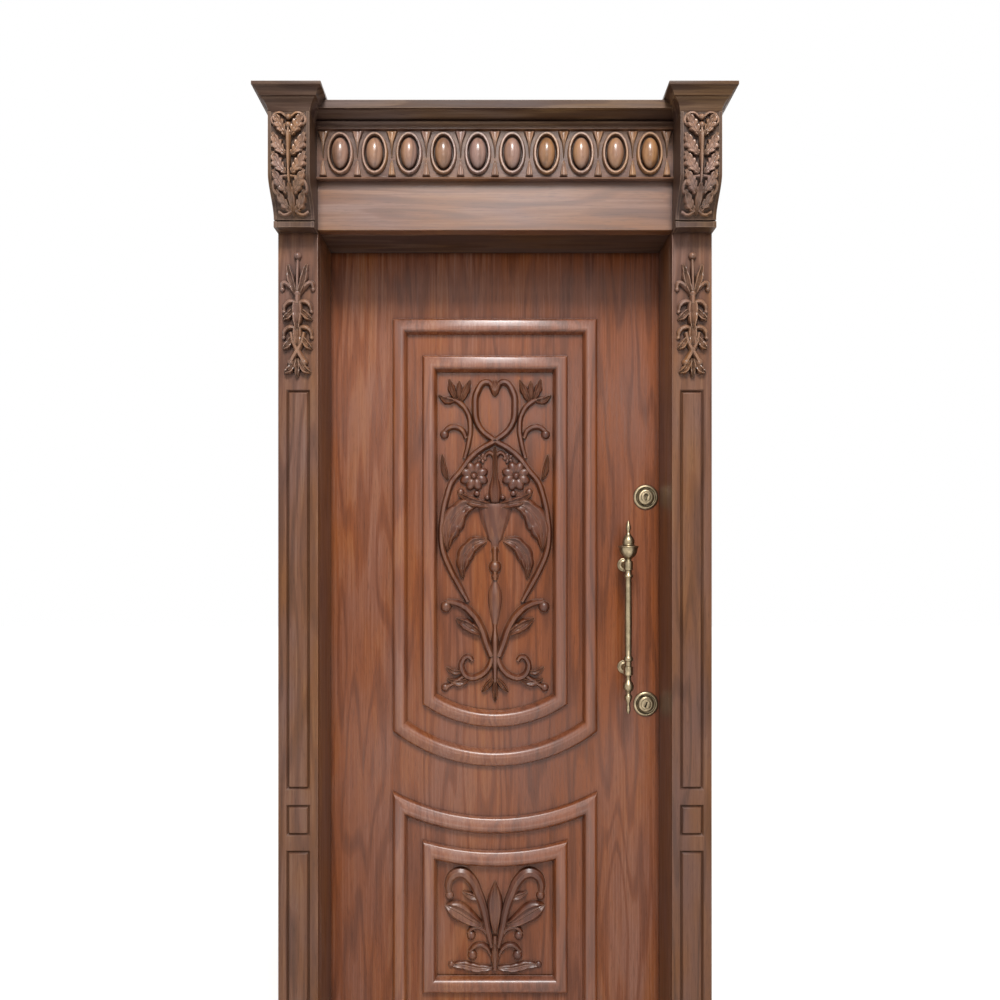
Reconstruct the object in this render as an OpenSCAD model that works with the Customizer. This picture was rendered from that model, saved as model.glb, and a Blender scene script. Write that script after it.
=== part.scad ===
// Carved timber entrance door in its frame: pilasters, a crowned head, a panelled leaf,
// an antique brass pull handle and two locks.
// +X is to the right as seen from outside, +Y goes into the house and +Z is up.
// The origin is on the floor, midway across the doorway and midway through the frame's depth.

/* [Doorway] */
// Clear width between the stops
clear_w = 820; // [780:1:1000]
// Clear height from the floor to the soffit
clear_h = 2120; // [2090:1:2300]
// Depth of the jambs through the wall
frame_depth = 200; // [170:1:280]
// Thickness of the jambs and of the head
jamb_t = 45; // [40:1:60]
// Step of the rebate that takes the leaf's edge
rebate_w = 15; // [13:1:18]
// Height of the threshold
threshold_h = 25; // [15:1:30]

/* [Door leaf] */
// Thickness of the leaf
leaf_t = 65; // [60:1:80]
// Gap between the leaf's edges and the rebate
leaf_gap = 5; // [4:0.5:6]
// Thickness of the outer face board
front_t = 14; // [12:0.5:16]
// Thickness of the inner face board
back_t = 13; // [10:0.5:16]

/* [Panels] */
// Width over the outer mouldings
panel_w = 512; // [470:1:530]
// Plain board above the upper panel
top_rail = 164; // [140:1:200]
// Plain board below the lower panel
bottom_rail = 155; // [130:1:190]
// Height of the centre that all the arcs share
arc_z = 1253; // [1230:1:1280]
// Radius of the upper panel's bottom arc
arc_r = 416; // [400:1:430]
// Plain band between the two panels
lock_rail = 125; // [110:1:140]
// Width of the outer moulding's sides
outer_mould_w = 38; // [32:1:44]
// Width of the outer moulding's straight ends
outer_mould_end = 41; // [36:1:46]
// Width of the outer moulding's arcs
outer_mould_arc = 44; // [38:1:48]
// Width of the inner moulding's sides
inner_mould_w = 38; // [32:1:42]
// Width of the inner moulding's straight ends
inner_mould_end = 42; // [36:1:46]
// Width of the inner moulding's arcs
inner_mould_arc = 43; // [38:1:46]
// From the panel's sides to the inner moulding
inner_inset_w = 74; // [68:1:80]
// From the panel's straight ends to the inner moulding
inner_inset_end = 92; // [86:1:98]
// From the upper arc to the inner moulding
upper_inset_arc = 98; // [92:1:102]
// From the lower arc to the inner moulding
lower_inset_arc = 84; // [78:1:90]
// How far the mouldings stand proud of the face
mould_rise = 18; // [14:1:22]
// How far the carved ground is sunk below the face
ground_sink = 3; // [2:0.5:5]

/* [Casing and head] */
// Width of each pilaster
pilaster_w = 92; // [84:1:110]
// Thickness of the pilasters and of the head board
casing_t = 32; // [26:1:40]
// Height of the plain fascia below the egg frieze
fascia_h = 112; // [100:1:120]
// Height of the egg frieze
frieze_h = 118; // [112:1:124]
// Height of the caps
cap_h = 54; // [50:1:60]
// Thickness of the egg frieze's ground
frieze_t = 12; // [10:1:18]
// Number of eggs
egg_count = 10; // [8:2:10]
// Spacing of the eggs
egg_pitch = 79; // [72:1:80]
// Half width of an egg
egg_w = 20; // [16:1:22]
// Half height of an egg
egg_h = 36; // [30:1:38]
// Projection of the cornice
cornice_p = 60; // [54:1:66]
// Projection of the consoles at the top
console_top_p = 90; // [80:1:100]
// Projection of the consoles at the foot
console_foot_p = 37; // [30:1:44]
// Overhang of the caps on each side
cap_flare = 30; // [24:1:36]

/* [Hardware] */
// Height of the upper lock
upper_lock_z = 1510; // [1460:1:1560]
// Height of the lower lock
lower_lock_z = 993; // [940:1:1000]
// From the leaf's edge to the lock's axis
backset = 43; // [43:1:48]
// Throw of the deadbolts
bolt_throw = 20; // [14:1:20]
// From the leaf's edge to the pull handle
pull_inset = 97; // [94:1:104]
// Height of the pull handle's lower post
pull_z = 1086; // [1070:1:1110]
// Spacing of the pull handle's posts
pull_span = 255; // [240:1:290]
// Distance from the outer face to the pull bar's axis
pull_reach = 70; // [60:1:80]
// Distance from the inner face to the inner pull bar's axis
inner_reach = 58; // [50:1:70]
// Radius of the pull bars
pull_r = 8; // [7:0.5:9]
// Height of each hinge
hinge_h = 110; // [90:1:130]
// Radius of the hinge knuckles
knuckle_r = 8; // [7:0.5:9]
// Spacing of the wall fixings on each jamb
fixing_span = 1240; // [1230:1:1260]

/* [Hidden] */

// Colours of the finishes
leaf_wood = "#85543d";
frame_wood = "#765646";
brass = "#8d7f55";
steel = "#9a9a98";
rubber = "#2b2826";

// Frame
jamb_in = clear_w / 2;
rebate_in = jamb_in + rebate_w;
jamb_out = jamb_in + jamb_t;
y_front = -frame_depth / 2;
y_back = frame_depth / 2;
stop_gap = 1;
leaf_setback = 2;
leaf_back = y_back - leaf_setback;
leaf_front = leaf_back - leaf_t;
y_stop = leaf_front - stop_gap;
threshold_nose = 8;
seal_w = 4;
seal_depth = 5;
seal_clear = 0.3;
fixing_y = (y_stop + y_back) / 2;
fixing_r = 5.5;
fixing_head_r = 10;
fixing_head_depth = 12;
fixing_low_z = 500;

// Leaf
leaf_hw = rebate_in - leaf_gap;
leaf_top = clear_h + rebate_w - leaf_gap;
leaf_bottom = threshold_h + 6;
core_front = leaf_front + front_t;
core_back = leaf_back - back_t;
sweep_w = 8;
sweep_depth = 12;
sweep_clear = 0.5;
sweep_inset = 5;

// Panels
panel_hw = panel_w / 2;
upper_top = clear_h - top_rail;
lower_bottom = threshold_h + bottom_rail;
board_clear = 0.5;
arc_steps = 12;
ground_y = leaf_front + ground_sink;
field_hw = panel_hw - inner_inset_w - inner_mould_w;
field_end = inner_inset_end + inner_mould_end;
upper_field_top = upper_top - field_end;
upper_field_r = arc_r - upper_inset_arc - inner_mould_arc;
lower_field_bottom = lower_bottom + field_end;
lower_field_r = arc_r + lock_rail + lower_inset_arc + inner_mould_arc;

// Casing and head
casing_front = y_front - casing_t;
casing_out = jamb_in + pilaster_w;
casing_mid = (jamb_in + casing_out) / 2;
cap_z = clear_h + fascia_h + frieze_h;
head_top = cap_z + cap_h;
cornice_h = cap_h - 12;
console_z = clear_h - 8;
console_h = cap_z - console_z;

// Locks
lock_x = leaf_hw - backset;
lock_y = (core_front + core_back) / 2;
case_t = 18;
case_h = 150;
case_depth = 70;
case_clear = 0.2;
face_w = 24;
face_h = 180;
face_t = 3;
bolt_r = 6.5;
bolt_pitch = 40;
bolt_count = 3;
bolt_clear = 0.05;
bolt_inset = 0.5;
carriage_t = 8;
carriage_h = bolt_pitch * (bolt_count - 1) + 2 * bolt_r + 4;
carriage_x = leaf_hw - face_t - bolt_throw - carriage_t - 1;
plug_r = 12;
plug_clear = 0.05;
plug_proud = 0.5;
keyhole_depth = 10;
cylinder_r = 16;
cylinder_clear = 0.1;
tail_w = 6;
tail_hole_r = 6;
tail_clear = 0.05;
rose_t = 9;
rose_r = 31;
inner_rose_r = 27;
inner_rose_t = 6;
turn_r = 9;
turn_socket = 10;
strike_t = 2.5;
pocket_clear = 1;
pocket_depth = bolt_throw - leaf_gap - bolt_inset + 3;
latch_r = 6;
latch_z = lower_lock_z + 62;
latch_reach = 3;
latch_len = 30;

// Pull handles
pull_x = leaf_hw - pull_inset;
pull_y = leaf_front - pull_reach;
inner_pull_y = leaf_back + inner_reach;
post_zs = [pull_z, pull_z + pull_span];
post_r = 6.5;
post_rose_r = 17;
post_rose_t = 6;
collar_r = 11;
collar_h = 22;
pull_bolt_r = 4;
pull_bolt_bite = 18;
pull_bolt_clear = 0.05;
pull_bolt_gap = 0.5;

// Hinges
pin_x = -(leaf_hw + leaf_gap / 2);
pin_y = y_back + knuckle_r + 0.5;
pin_r = 4.5;
pin_clear = 0.05;
pin_head_r = 6.5;
plate_t = 2.5;
plate_w = 36;
knuckle_gap = 0.4;
hinge_edge = 220;
hinge_zs = [leaf_bottom + hinge_edge, (leaf_bottom + leaf_top) / 2, leaf_top - hinge_edge];

// A drawing plane that faces the front: X stays, Y becomes up and Z comes forward
module facing(x = 0, y = 0, z = 0) translate([x, y, z]) rotate([90, 0, 0]) children();
// A round part's axis turned to point into the house
module inward(x = 0, y = 0, z = 0) translate([x, y, z]) rotate([-90, 0, 0]) children();
// A round part's axis turned to point to the right
module rightward(x = 0, y = 0, z = 0) translate([x, y, z]) rotate([0, 90, 0]) children();
// A section drawn in Y and Z, run along X
module along_x(from, to) translate([from, 0, 0]) rotate([90, 0, 90]) linear_extrude(to - from) children();
module both_sides() {
    children();
    mirror([1, 0, 0]) children();
}
// A box from its two opposite corners
module box(low, high) translate(low) cube(high - low);

// A closed skin over rings of points, with flat ends unless the rings close on themselves
module loft(rings, closed = false) {
    k = len(rings[0]);
    n = len(rings);
    spans = closed ? n : n - 1;
    sides = [for (i = [0:spans - 1], j = [0:k - 1]) let (a = i * k, b = ((i + 1) % n) * k, m = (j + 1) % k)
        each [[a + j, b + j, a + m], [a + m, b + j, b + m]]];
    ends = closed ? [] : [[for (j = [0:k - 1]) j], [for (j = [k - 1:-1:0]) (n - 1) * k + j]];
    polyhedron([for (r = rings) each r], concat(sides, ends), convexity = 8);
}

// A smooth curve through hand-placed points, with a number of steps to each stretch
function spline_point(a, b, c, d, t) = 0.5 * (2 * b + (c - a) * t + (2 * a - 5 * b + 4 * c - d) * t * t
    + (3 * b - a - 3 * c + d) * t * t * t);
function spline(p, steps) = let (n = len(p)) concat(
    [for (i = [0:n - 2], s = [0:steps - 1])
        spline_point(p[max(i - 1, 0)], p[i], p[i + 1], p[min(i + 2, n - 1)], s / steps)],
    [p[n - 1]]);
function heading(p, i) = let (d = p[min(i + 1, len(p) - 1)] - p[max(i - 1, 0)], v = [d.x, d.y])
    v / max(norm(v), 0.001);

// Carved relief. Each point of a path is [across, up, half width]; the relief grows with the width.
relief_sink = 1.5;
vine_section = [[-1, 0], [-0.72, 0.7], [0, 1], [0.72, 0.7], [1, 0]];
leaf_section = [[-1, 0], [-0.6, 1], [0, 0.5], [0.6, 1], [1, 0]];
function relief_h(w) = min(4 + 0.65 * w, 11);
// On a console the relief follows the curved front
function ground_at(up, bent) = bent ? console_p(up) : 0;
module relief(path, section, steps, bent) {
    p = spline(path, steps);
    loft([for (i = [0:len(p) - 1]) let (t = heading(p, i), w = max(p[i][2], 0.8), h = relief_h(w))
        [for (s = section) let (x = p[i].x + t.y * s.x * w, y = p[i].y - t.x * s.x * w)
            [x, y, ground_at(y, bent) + (s.y > 0 ? s.y * h : -relief_sink)]]]);
}
module vine(path, steps = 2, bent = false) relief(path, vine_section, steps, bent);
module leaf(path, steps = 2, bent = false) relief(path, leaf_section, steps, bent);
// A domed boss
module boss(at, r, bent = false) translate([at.x, at.y, ground_at(at.y, bent) - relief_sink]) hull() {
    cylinder(r = r, h = relief_sink + 0.45 * relief_h(r), $fn = 7);
    cylinder(r = 0.55 * r, h = relief_sink + relief_h(r) + 1, $fn = 7);
}

// Outlines of the panels, drawn in from the outer edge by the given amounts
function upper_loop(side, end, curve) = let (hw = panel_hw - side, r = arc_r - curve, a = asin(hw / r), n = arc_steps)
    concat([[hw, upper_top - end], [-hw, upper_top - end]],
        [for (i = [0:n]) let (t = a * (2 * i / n - 1)) [r * sin(t), arc_z - r * cos(t)]]);
function lower_loop(side, end, curve) = let (hw = panel_hw - side, r = arc_r + lock_rail + curve, a = asin(hw / r),
    n = arc_steps) concat([[-hw, lower_bottom + end], [hw, lower_bottom + end]],
        [for (i = [0:n]) let (t = a * (1 - 2 * i / n)) [r * sin(t), arc_z - r * cos(t)]]);
function panel_loop(upper, side, end, curve) = upper ? upper_loop(side, end, curve) : lower_loop(side, end, curve);

// Section of a moulding: across from its outer edge, then height
mould_section = [[0, 0], [0.05, 0.42], [0.17, 0.86], [0.38, 1], [0.62, 0.98], [0.8, 0.82], [0.93, 0.34],
    [1, 0.1], [1, 0]];
module moulding(upper, inset, width) facing(0, leaf_front)
    loft([for (s = mould_section)
        let (l = panel_loop(upper, inset[0] + s.x * width[0], inset[1] + s.x * width[1], inset[2] + s.x * width[2]))
            [for (p = l) [p.x, p.y, s.y * mould_rise]]], closed = true);
upper_inner_inset = [inner_inset_w, inner_inset_end, upper_inset_arc];
lower_inner_inset = [inner_inset_w, inner_inset_end, lower_inset_arc];
outer_width = [outer_mould_w, outer_mould_end, outer_mould_arc];
inner_width = [inner_mould_w, inner_mould_end, inner_mould_arc];

// Opening of the face board, whose edge lies under the inner moulding
module window(upper, clear) {
    inset = (upper ? upper_inner_inset : lower_inner_inset) + inner_width / 2;
    polygon(panel_loop(upper, inset[0] + clear, inset[1] + clear, inset[2] + clear));
}
module field(upper) {
    inset = (upper ? upper_inner_inset : lower_inner_inset) + inner_width;
    polygon(panel_loop(upper, inset[0], inset[1], inset[2]));
}
module carved_board(upper) {
    difference() {
        facing(0, core_front) linear_extrude(front_t) window(upper, board_clear);
        facing(0, ground_y) linear_extrude(2 * ground_sink) field(upper);
    }
}

// The carvings are drawn for these field sizes and stretch with the fields
drawn_hw = 148;
drawn_top = 569;
drawn_r = 275;
drawn_low_h = 271;
function upper_fit(path) = [for (p = path) [p.x * field_hw / drawn_hw,
    p.y * (p.y > 0 ? (upper_field_top - arc_z) / drawn_top : upper_field_r / drawn_r), p[2]]];
function lower_fit(path) = [for (p = path) [p.x * field_hw / drawn_hw,
    p.y * (arc_z - lower_field_r - lower_field_bottom) / drawn_low_h, p[2]]];
module upper_boss(x, y, r) boss(upper_fit([[x, y, r]])[0], r);
module lower_boss(x, y, r) boss(lower_fit([[x, y, r]])[0], r);

// Right half of the upper carving, from the centre that the arcs share
upper_vines = [
    [[0, 523, 5], [22, 545, 7.5], [46, 520, 8.5], [51, 483, 8.5], [42, 436, 8], [0, 398, 8], [-60, 358, 8],
        [-110, 296, 8], [-135, 205, 8], [-138, 160, 8], [-118, 83, 8], [-93, 37, 8], [-70, -4, 6]],
    [[78, 354, 6], [68, 392, 7], [63, 429, 7], [70, 467, 7], [90, 492, 7.5], [122, 506, 5]],
    [[74, 404, 6], [86, 425, 7], [108, 432, 7.5], [130, 418, 6]],
    [[124, -4, 7.5], [93, -10, 9], [60, -33, 10], [35, -71, 10], [22, -108, 10], [9, -140, 9.5]],
    [[5, -132, 7.5], [14, -165, 8.5], [40, -190, 9], [68, -193, 9], [85, -174, 8.5], [80, -148, 7.5],
        [62, -146, 6.5]],
    [[80, -190, 6], [104, -206, 6], [126, -219, 6]]
];
upper_leaves = [
    [[100, 500, 4], [110, 524, 10], [118, 552, 2]],
    [[88, 494, 4], [76, 520, 10], [63, 551, 2]],
    [[104, 498, 4], [124, 498, 9], [144, 511, 2]],
    [[122, 300, 4], [131, 328, 9], [136, 364, 2]],
    [[50, 238, 8], [66, 236, 20], [86, 224, 30], [108, 198, 31], [120, 160, 20], [122, 122, 2]],
    [[22, 150, 6], [50, 141, 19], [73, 118, 21], [84, 88, 14], [82, 52, 2]],
    [[32, -86, 5], [58, -71, 15], [80, -58, 13], [100, -46, 2]],
    [[64, -196, 4], [92, -207, 10], [124, -196, 2]]
];
upper_bosses = [[130, 414, 11], [54, 310, 29], [34, 354, 12], [47, 267, 9], [126, -17, 15],
    [128, -219, 11], [20, -215, 9]];
// Vase, spindle and beads on the centre line
upper_centre = [
    [[0, 246, 36], [0, 236, 40], [0, 218, 37], [0, 182, 25], [0, 152, 17], [0, 138, 8], [0, 102, 8]],
    [[0, 50, 5], [0, 25, 13], [0, 2, 19], [0, -30, 13], [0, -79, 2]],
    [[0, -146, 9], [0, -195, 7], [0, -250, 4]]
];
upper_flame = [[0, 384, 2], [0, 345, 8], [0, 300, 10], [0, 258, 14]];
upper_beads = [[0, 83, 16], [0, 58, 9], [0, -236, 9]];

// Right half of the lower carving, from the middle of the field's lower edge
lower_vines = [
    [[118, 206, 6], [114, 236, 8], [88, 256, 9], [63, 240, 9.5], [44, 206, 9], [29, 164, 8.5], [19, 114, 7.5],
        [8, 70, 6]],
    [[18, 100, 5], [42, 120, 6], [66, 108, 5]],
    [[8, 44, 5], [24, 72, 6], [46, 76, 6], [64, 60, 5]]
];
lower_leaves = [
    [[30, 128, 6], [60, 140, 16], [90, 158, 17], [125, 172, 3]],
    [[6, 20, 6], [52, 18, 12], [118, 26, 2]]
];
lower_bosses = [[117, 200, 12], [61, 100, 12], [58, 51, 12], [112, 27, 9]];
lower_centre = [[0, 97, 6.4], [0, 60, 6.6], [0, 17, 7.3]];
lower_spear = [[0, 234, 2], [0, 190, 13], [0, 140, 13], [0, 90, 4]];

// One side of the leaf drop on a pilaster, down from the soffit
drop_leaves = [
    [[2, -118, 4], [13, -98, 10], [26, -80, 2]],
    [[2, -142, 4], [18, -132, 10], [34, -121, 2]],
    [[4, -186, 4], [18, -186, 9], [31, -180, 2]]
];
drop_stems = [[[-12, -250, 5], [-5, -284, 6], [11, -308, 6]]];
drop_bells = [
    [[0, -64, 4], [0, -120, 6], [0, -172, 7]],
    [[0, -166, 14], [0, -174, 18], [0, -204, 10], [0, -232, 5]],
    [[0, -227, 15], [0, -236, 20], [0, -252, 12], [0, -290, 4]]
];
drop_bosses = [[12, -310, 9], [8, -148, 6], [14, -238, 7]];

// One side of the leaf on a console, up from its foot
console_leaves = [
    [[3, 42, 3], [19, 74, 9], [28, 104, 2]],
    [[3, 104, 3], [20, 138, 9], [29, 168, 2]],
    [[3, 166, 3], [18, 198, 9], [27, 230, 2]]
];
console_stems = [[[0, 226, 4], [0, 150, 5], [0, 108, 8], [0, 90, 3]], [[0, 88, 3], [0, 56, 6], [0, 26, 3]]];
console_bosses = [[30, 36, 5], [31, 128, 5], [31, 196, 5]];
console_groove = 18;
console_rise = 84;
console_steps = 8;
// Projection of a console's front at a height above its foot
function console_p(up) = let (t = min(max((up - console_groove) / console_rise, 0), 1))
    console_foot_p + (console_top_p - console_foot_p) * (1 - cos(180 * t)) / 2;

// Frame
module jamb_body() difference() {
    linear_extrude(clear_h) polygon([[jamb_in, y_front], [jamb_out, y_front], [jamb_out, y_back],
        [rebate_in, y_back], [rebate_in, y_stop], [jamb_in, y_stop]]);
    seal_run(y_stop + 1);
    for (z = [fixing_low_z, fixing_low_z + fixing_span]) {
        rightward(rebate_in - 1, fixing_y, z) cylinder(r = fixing_r, h = jamb_t + 2);
        rightward(rebate_in - 1, fixing_y, z) cylinder(r = fixing_head_r, h = fixing_head_depth + 1);
    }
}
module left_jamb() color(frame_wood) difference() {
    mirror([1, 0, 0]) jamb_body();
    for (z = hinge_zs)
        box([-rebate_in - plate_t, y_back - plate_w, z - hinge_h / 2], [-rebate_in + 1, y_back + 1, z + hinge_h / 2]);
}
module right_jamb() color(frame_wood) difference() {
    jamb_body();
    for (z = [upper_lock_z, lower_lock_z]) {
        box([rebate_in - 1, lock_y - face_w / 2, z - face_h / 2],
            [rebate_in + strike_t, lock_y + face_w / 2, z + face_h / 2]);
        bolts_at(z) rightward(rebate_in, 0, 0) cylinder(r = bolt_r + pocket_clear, h = pocket_depth);
    }
}
module head_jamb() color(frame_wood) difference() {
    box([-jamb_out, y_front, clear_h], [jamb_out, y_back, clear_h + jamb_t]);
    box([-rebate_in, y_stop, clear_h - 1], [rebate_in, y_back + 1, clear_h + rebate_w]);
    seal_run(y_stop + 1);
}
module threshold() color(frame_wood) {
    along_x(-jamb_in, jamb_in) polygon(concat([[y_front, 0]],
        [for (a = [180:-15:90]) [y_front + threshold_nose + threshold_nose * cos(a),
            threshold_h - threshold_nose + threshold_nose * sin(a)]],
        [[y_back, threshold_h], [y_back, 0]]));
    both_sides() box([jamb_in, y_stop, 0], [rebate_in, y_back, threshold_h]);
}
// The seal's run in the stops, up to a given depth
module seal_run(y_to) {
    x = jamb_in + rebate_w / 2;
    z = clear_h + rebate_w / 2;
    both_sides() box([x - seal_w / 2, y_stop - seal_depth, threshold_h], [x + seal_w / 2, y_to, z + seal_w / 2]);
    box([-x, y_stop - seal_depth, z - seal_w / 2], [x, y_to, z + seal_w / 2]);
}
module frame_seal() color(rubber) seal_run(leaf_front - seal_clear);

// Casing
panel_groove = 8;
panel_groove_d = 7;
field_w = 40;
// The pilasters lap over the jambs' outer sides, so that only this strip lies on the wall
casing_lap = 2;
module fielded(low, high) {
    function ring(g, h) = [[-field_w / 2 - g, low - g, h], [field_w / 2 + g, low - g, h],
        [field_w / 2 + g, high + g, h], [-field_w / 2 - g, high + g, h]];
    difference() {
        children();
        facing(casing_mid, casing_front)
            loft([ring(panel_groove / 2, -panel_groove_d), ring(panel_groove * 1.5, panel_groove_d)]);
    }
    facing(casing_mid, casing_front) loft([ring(panel_groove / 2, -panel_groove_d), ring(0, 0)]);
}
module pilaster_body()
    fielded(832, clear_h - 377) fielded(725, 782) fielded(120, 676) union() {
        box([jamb_in, casing_front, 0], [casing_out, y_front, clear_h]);
        box([jamb_out, casing_front + casing_t / 2, 0], [casing_out, y_front + casing_lap, clear_h]);
    }
module left_pilaster() color(frame_wood) mirror([1, 0, 0]) pilaster_body();
module right_pilaster() color(frame_wood) pilaster_body();
module drop_carving() facing(casing_mid, casing_front, clear_h) intersection() {
    union() {
        both_sides() {
            for (p = drop_leaves) leaf(p);
            for (p = drop_stems) vine(p);
            for (b = drop_bosses) boss(b, b[2]);
        }
        for (p = drop_bells) vine(p);
        boss([0, -62], 8);
        boss([0, -296], 6);
    }
    translate([-pilaster_w / 2, -400, 0]) cube([pilaster_w, 400, 40]);
}
module left_drop_carving() color(frame_wood) mirror([1, 0, 0]) drop_carving();
module right_drop_carving() color(frame_wood) drop_carving();

// Consoles and caps
function console_side(extra) = concat([[0, 0], [console_foot_p + 5, 0], [console_foot_p + 5, console_groove - 4],
    [console_foot_p - 7, console_groove - 4], [console_foot_p - 7, console_groove]],
    [for (i = [0:console_steps]) let (z = console_groove + console_rise * i / console_steps) [console_p(z) + extra, z]],
    [[console_top_p + extra, console_h], [0, console_h]]);
module console_slice(from, to, extra) along_x(from, to)
    polygon([for (p = console_side(extra)) [casing_front - p.x, console_z + p.y]]);
console_margin = 9;
console_lip = 3;
module console() {
    console_slice(jamb_in, casing_out, 0);
    console_slice(jamb_in, jamb_in + console_margin, console_lip);
    console_slice(casing_out - console_margin, casing_out, console_lip);
    facing(casing_mid, casing_front, console_z) {
        both_sides() {
            for (p = console_leaves) leaf(p, bent = true);
            for (b = console_bosses) boss(b, b[2], bent = true);
        }
        for (p = console_stems) vine(p, bent = true);
        boss([0, 206], 8, bent = true);
        boss([0, 38], 6, bent = true);
    }
}
module left_console() color(frame_wood) mirror([1, 0, 0]) console();
module right_console() color(frame_wood) console();

// Flare of a cap: overhang at a height above its foot, as shares of the full flare and height
cap_section = [[0, 0], [0.04, 0.14], [0.12, 0.28], [0.25, 0.4], [0.42, 0.48], [0.42, 0.52], [0.56, 0.54],
    [0.62, 0.64], [0.75, 0.76], [0.93, 0.84], [1, 0.86], [1, 1]];
module cap() difference() {
    intersection() {
        along_x(jamb_in - cap_flare, casing_out + cap_flare) polygon(concat([[y_front, cap_z]],
            [for (s = cap_section) [casing_front - console_top_p - s.x * cap_flare, cap_z + s.y * cap_h]],
            [[y_front, head_top]]));
        facing(0, y_front) linear_extrude(frame_depth + console_top_p) polygon(concat(
            [for (s = cap_section) [casing_out + s.x * cap_flare, cap_z + s.y * cap_h]],
            [for (i = [len(cap_section) - 1:-1:0]) let (s = cap_section[i])
                [jamb_in - s.x * cap_flare, cap_z + s.y * cap_h]]));
    }
    box([0, casing_front, cap_z - 1], [casing_out, y_front + 1, head_top + 1]);
}
module left_cap() color(frame_wood) mirror([1, 0, 0]) cap();
module right_cap() color(frame_wood) cap();

// Head
module head_board() color(frame_wood) box([-casing_out, casing_front, clear_h], [casing_out, y_front, head_top]);
function oval(w, h) = [for (i = [0:27]) let (a = i * 360 / 28) [w * cos(a), h * sin(a)]];
frieze_lip = 6;
frieze_border = 7;
ring_gap = 4;
ring_t = 7;
ring_h = 9;
dart_h = 8;
egg_profile = concat([[0, -egg_h]], [for (a = [-75:15:75]) [egg_w * cos(a), egg_h * sin(a)]], [[0, egg_h]]);
module egg_frieze() color(frame_wood) {
    low = clear_h + fascia_h;
    mid = low + frieze_h / 2;
    ground = casing_front - frieze_t;
    ring_w = egg_w + ring_gap + ring_t;
    ring_l = egg_h + ring_gap + ring_t;
    along_x(-jamb_in, jamb_in) polygon([[casing_front, low], [ground - frieze_lip, low],
        [ground - frieze_lip, low + frieze_border / 2], [ground, low + frieze_border], [ground, cap_z - frieze_border],
        [ground - frieze_lip, cap_z - frieze_border / 2], [ground - frieze_lip, cap_z], [casing_front, cap_z]]);
    for (i = [0:egg_count - 1]) facing((i - (egg_count - 1) / 2) * egg_pitch, ground, mid) {
        linear_extrude(ring_h) difference() {
            polygon(oval(ring_w, ring_l));
            polygon(oval(ring_w - ring_t, ring_l - ring_t));
        }
        rotate([-90, 0, 0]) rotate_extrude(angle = 180, start = 180) polygon(egg_profile);
    }
    for (i = [0:egg_count]) facing((i - egg_count / 2) * egg_pitch, ground, mid)
        linear_extrude(dart_h) polygon([[0, -44], [3, 10], [7, 46], [-7, 46], [-3, 10]]);
}
cornice_section = [[0, 0], [20, 0], [20, 2], [25, 3], [28, 6], [28, 9], [25, 12], [20, 13], [24, 14], [30, 15],
    [38, 18], [46, 22], [52, 24], [56, 24]];
module cornice() color(frame_wood) difference() {
    along_x(-jamb_in, jamb_in) polygon(concat([for (s = cornice_section) [casing_front - s.x, cap_z + s.y]],
        [[casing_front - cornice_p, cap_z + 24], [casing_front - cornice_p, cap_z + cornice_h],
            [casing_front, cap_z + cornice_h]]));
    both_sides() cap();
}

// Strike plates
module bolts_at(z) for (i = [0:bolt_count - 1])
    translate([0, lock_y, z + (i - (bolt_count - 1) / 2) * bolt_pitch]) children();
module strike_plate(z) color(steel) difference() {
    box([rebate_in, lock_y - face_w / 2, z - face_h / 2], [rebate_in + strike_t, lock_y + face_w / 2, z + face_h / 2]);
    bolts_at(z) rightward(rebate_in - 1, 0, 0) cylinder(r = bolt_r + pocket_clear, h = strike_t + 2);
}
module upper_strike_plate() strike_plate(upper_lock_z);
module lower_strike_plate() strike_plate(lower_lock_z);

// Hinges: the door carries the middle knuckle, the frame the two outer ones
knuckle_third = hinge_h / 6 - knuckle_gap;
module knuckle(low, high) translate([pin_x, pin_y, low]) cylinder(r = knuckle_r, h = high - low);
module pin_bore(z) translate([pin_x, pin_y, z - hinge_h]) cylinder(r = pin_r + pin_clear, h = 2 * hinge_h);
module frame_leaf(z) color(steel) difference() {
    union() {
        box([-rebate_in - plate_t, y_back - plate_w, z - hinge_h / 2], [-rebate_in, y_back, z + hinge_h / 2]);
        for (k = [[z - hinge_h / 2, z - hinge_h / 6], [z + hinge_h / 6, z + hinge_h / 2]]) {
            box([-rebate_in - plate_t, y_back - 1, k[0]], [-rebate_in, pin_y, k[1]]);
            knuckle(k[0], k[1]);
        }
    }
    pin_bore(z);
}
module door_leaf_plate(z) color(steel) difference() {
    union() {
        box([-leaf_hw, leaf_back - plate_w, z - hinge_h / 2], [-leaf_hw + plate_t, leaf_back, z + hinge_h / 2]);
        box([-leaf_hw, leaf_back - 1, z - knuckle_third], [-leaf_hw + plate_t, pin_y, z + knuckle_third]);
        knuckle(z - knuckle_third, z + knuckle_third);
    }
    pin_bore(z);
}
module bottom_hinge_frame_leaf() frame_leaf(hinge_zs[0]);
module middle_hinge_frame_leaf() frame_leaf(hinge_zs[1]);
module top_hinge_frame_leaf() frame_leaf(hinge_zs[2]);
module bottom_hinge_door_leaf() door_leaf_plate(hinge_zs[0]);
module middle_hinge_door_leaf() door_leaf_plate(hinge_zs[1]);
module top_hinge_door_leaf() door_leaf_plate(hinge_zs[2]);
module hinge_pins() color(steel) for (z = hinge_zs) translate([pin_x, pin_y, z]) {
    translate([0, 0, -hinge_h / 2]) cylinder(r = pin_r, h = hinge_h + 1);
    translate([0, 0, hinge_h / 2]) cylinder(r = pin_head_r, h = 3);
    translate([0, 0, hinge_h / 2 + 3]) cylinder(r1 = pin_head_r, r2 = 3, h = 4);
}

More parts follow.
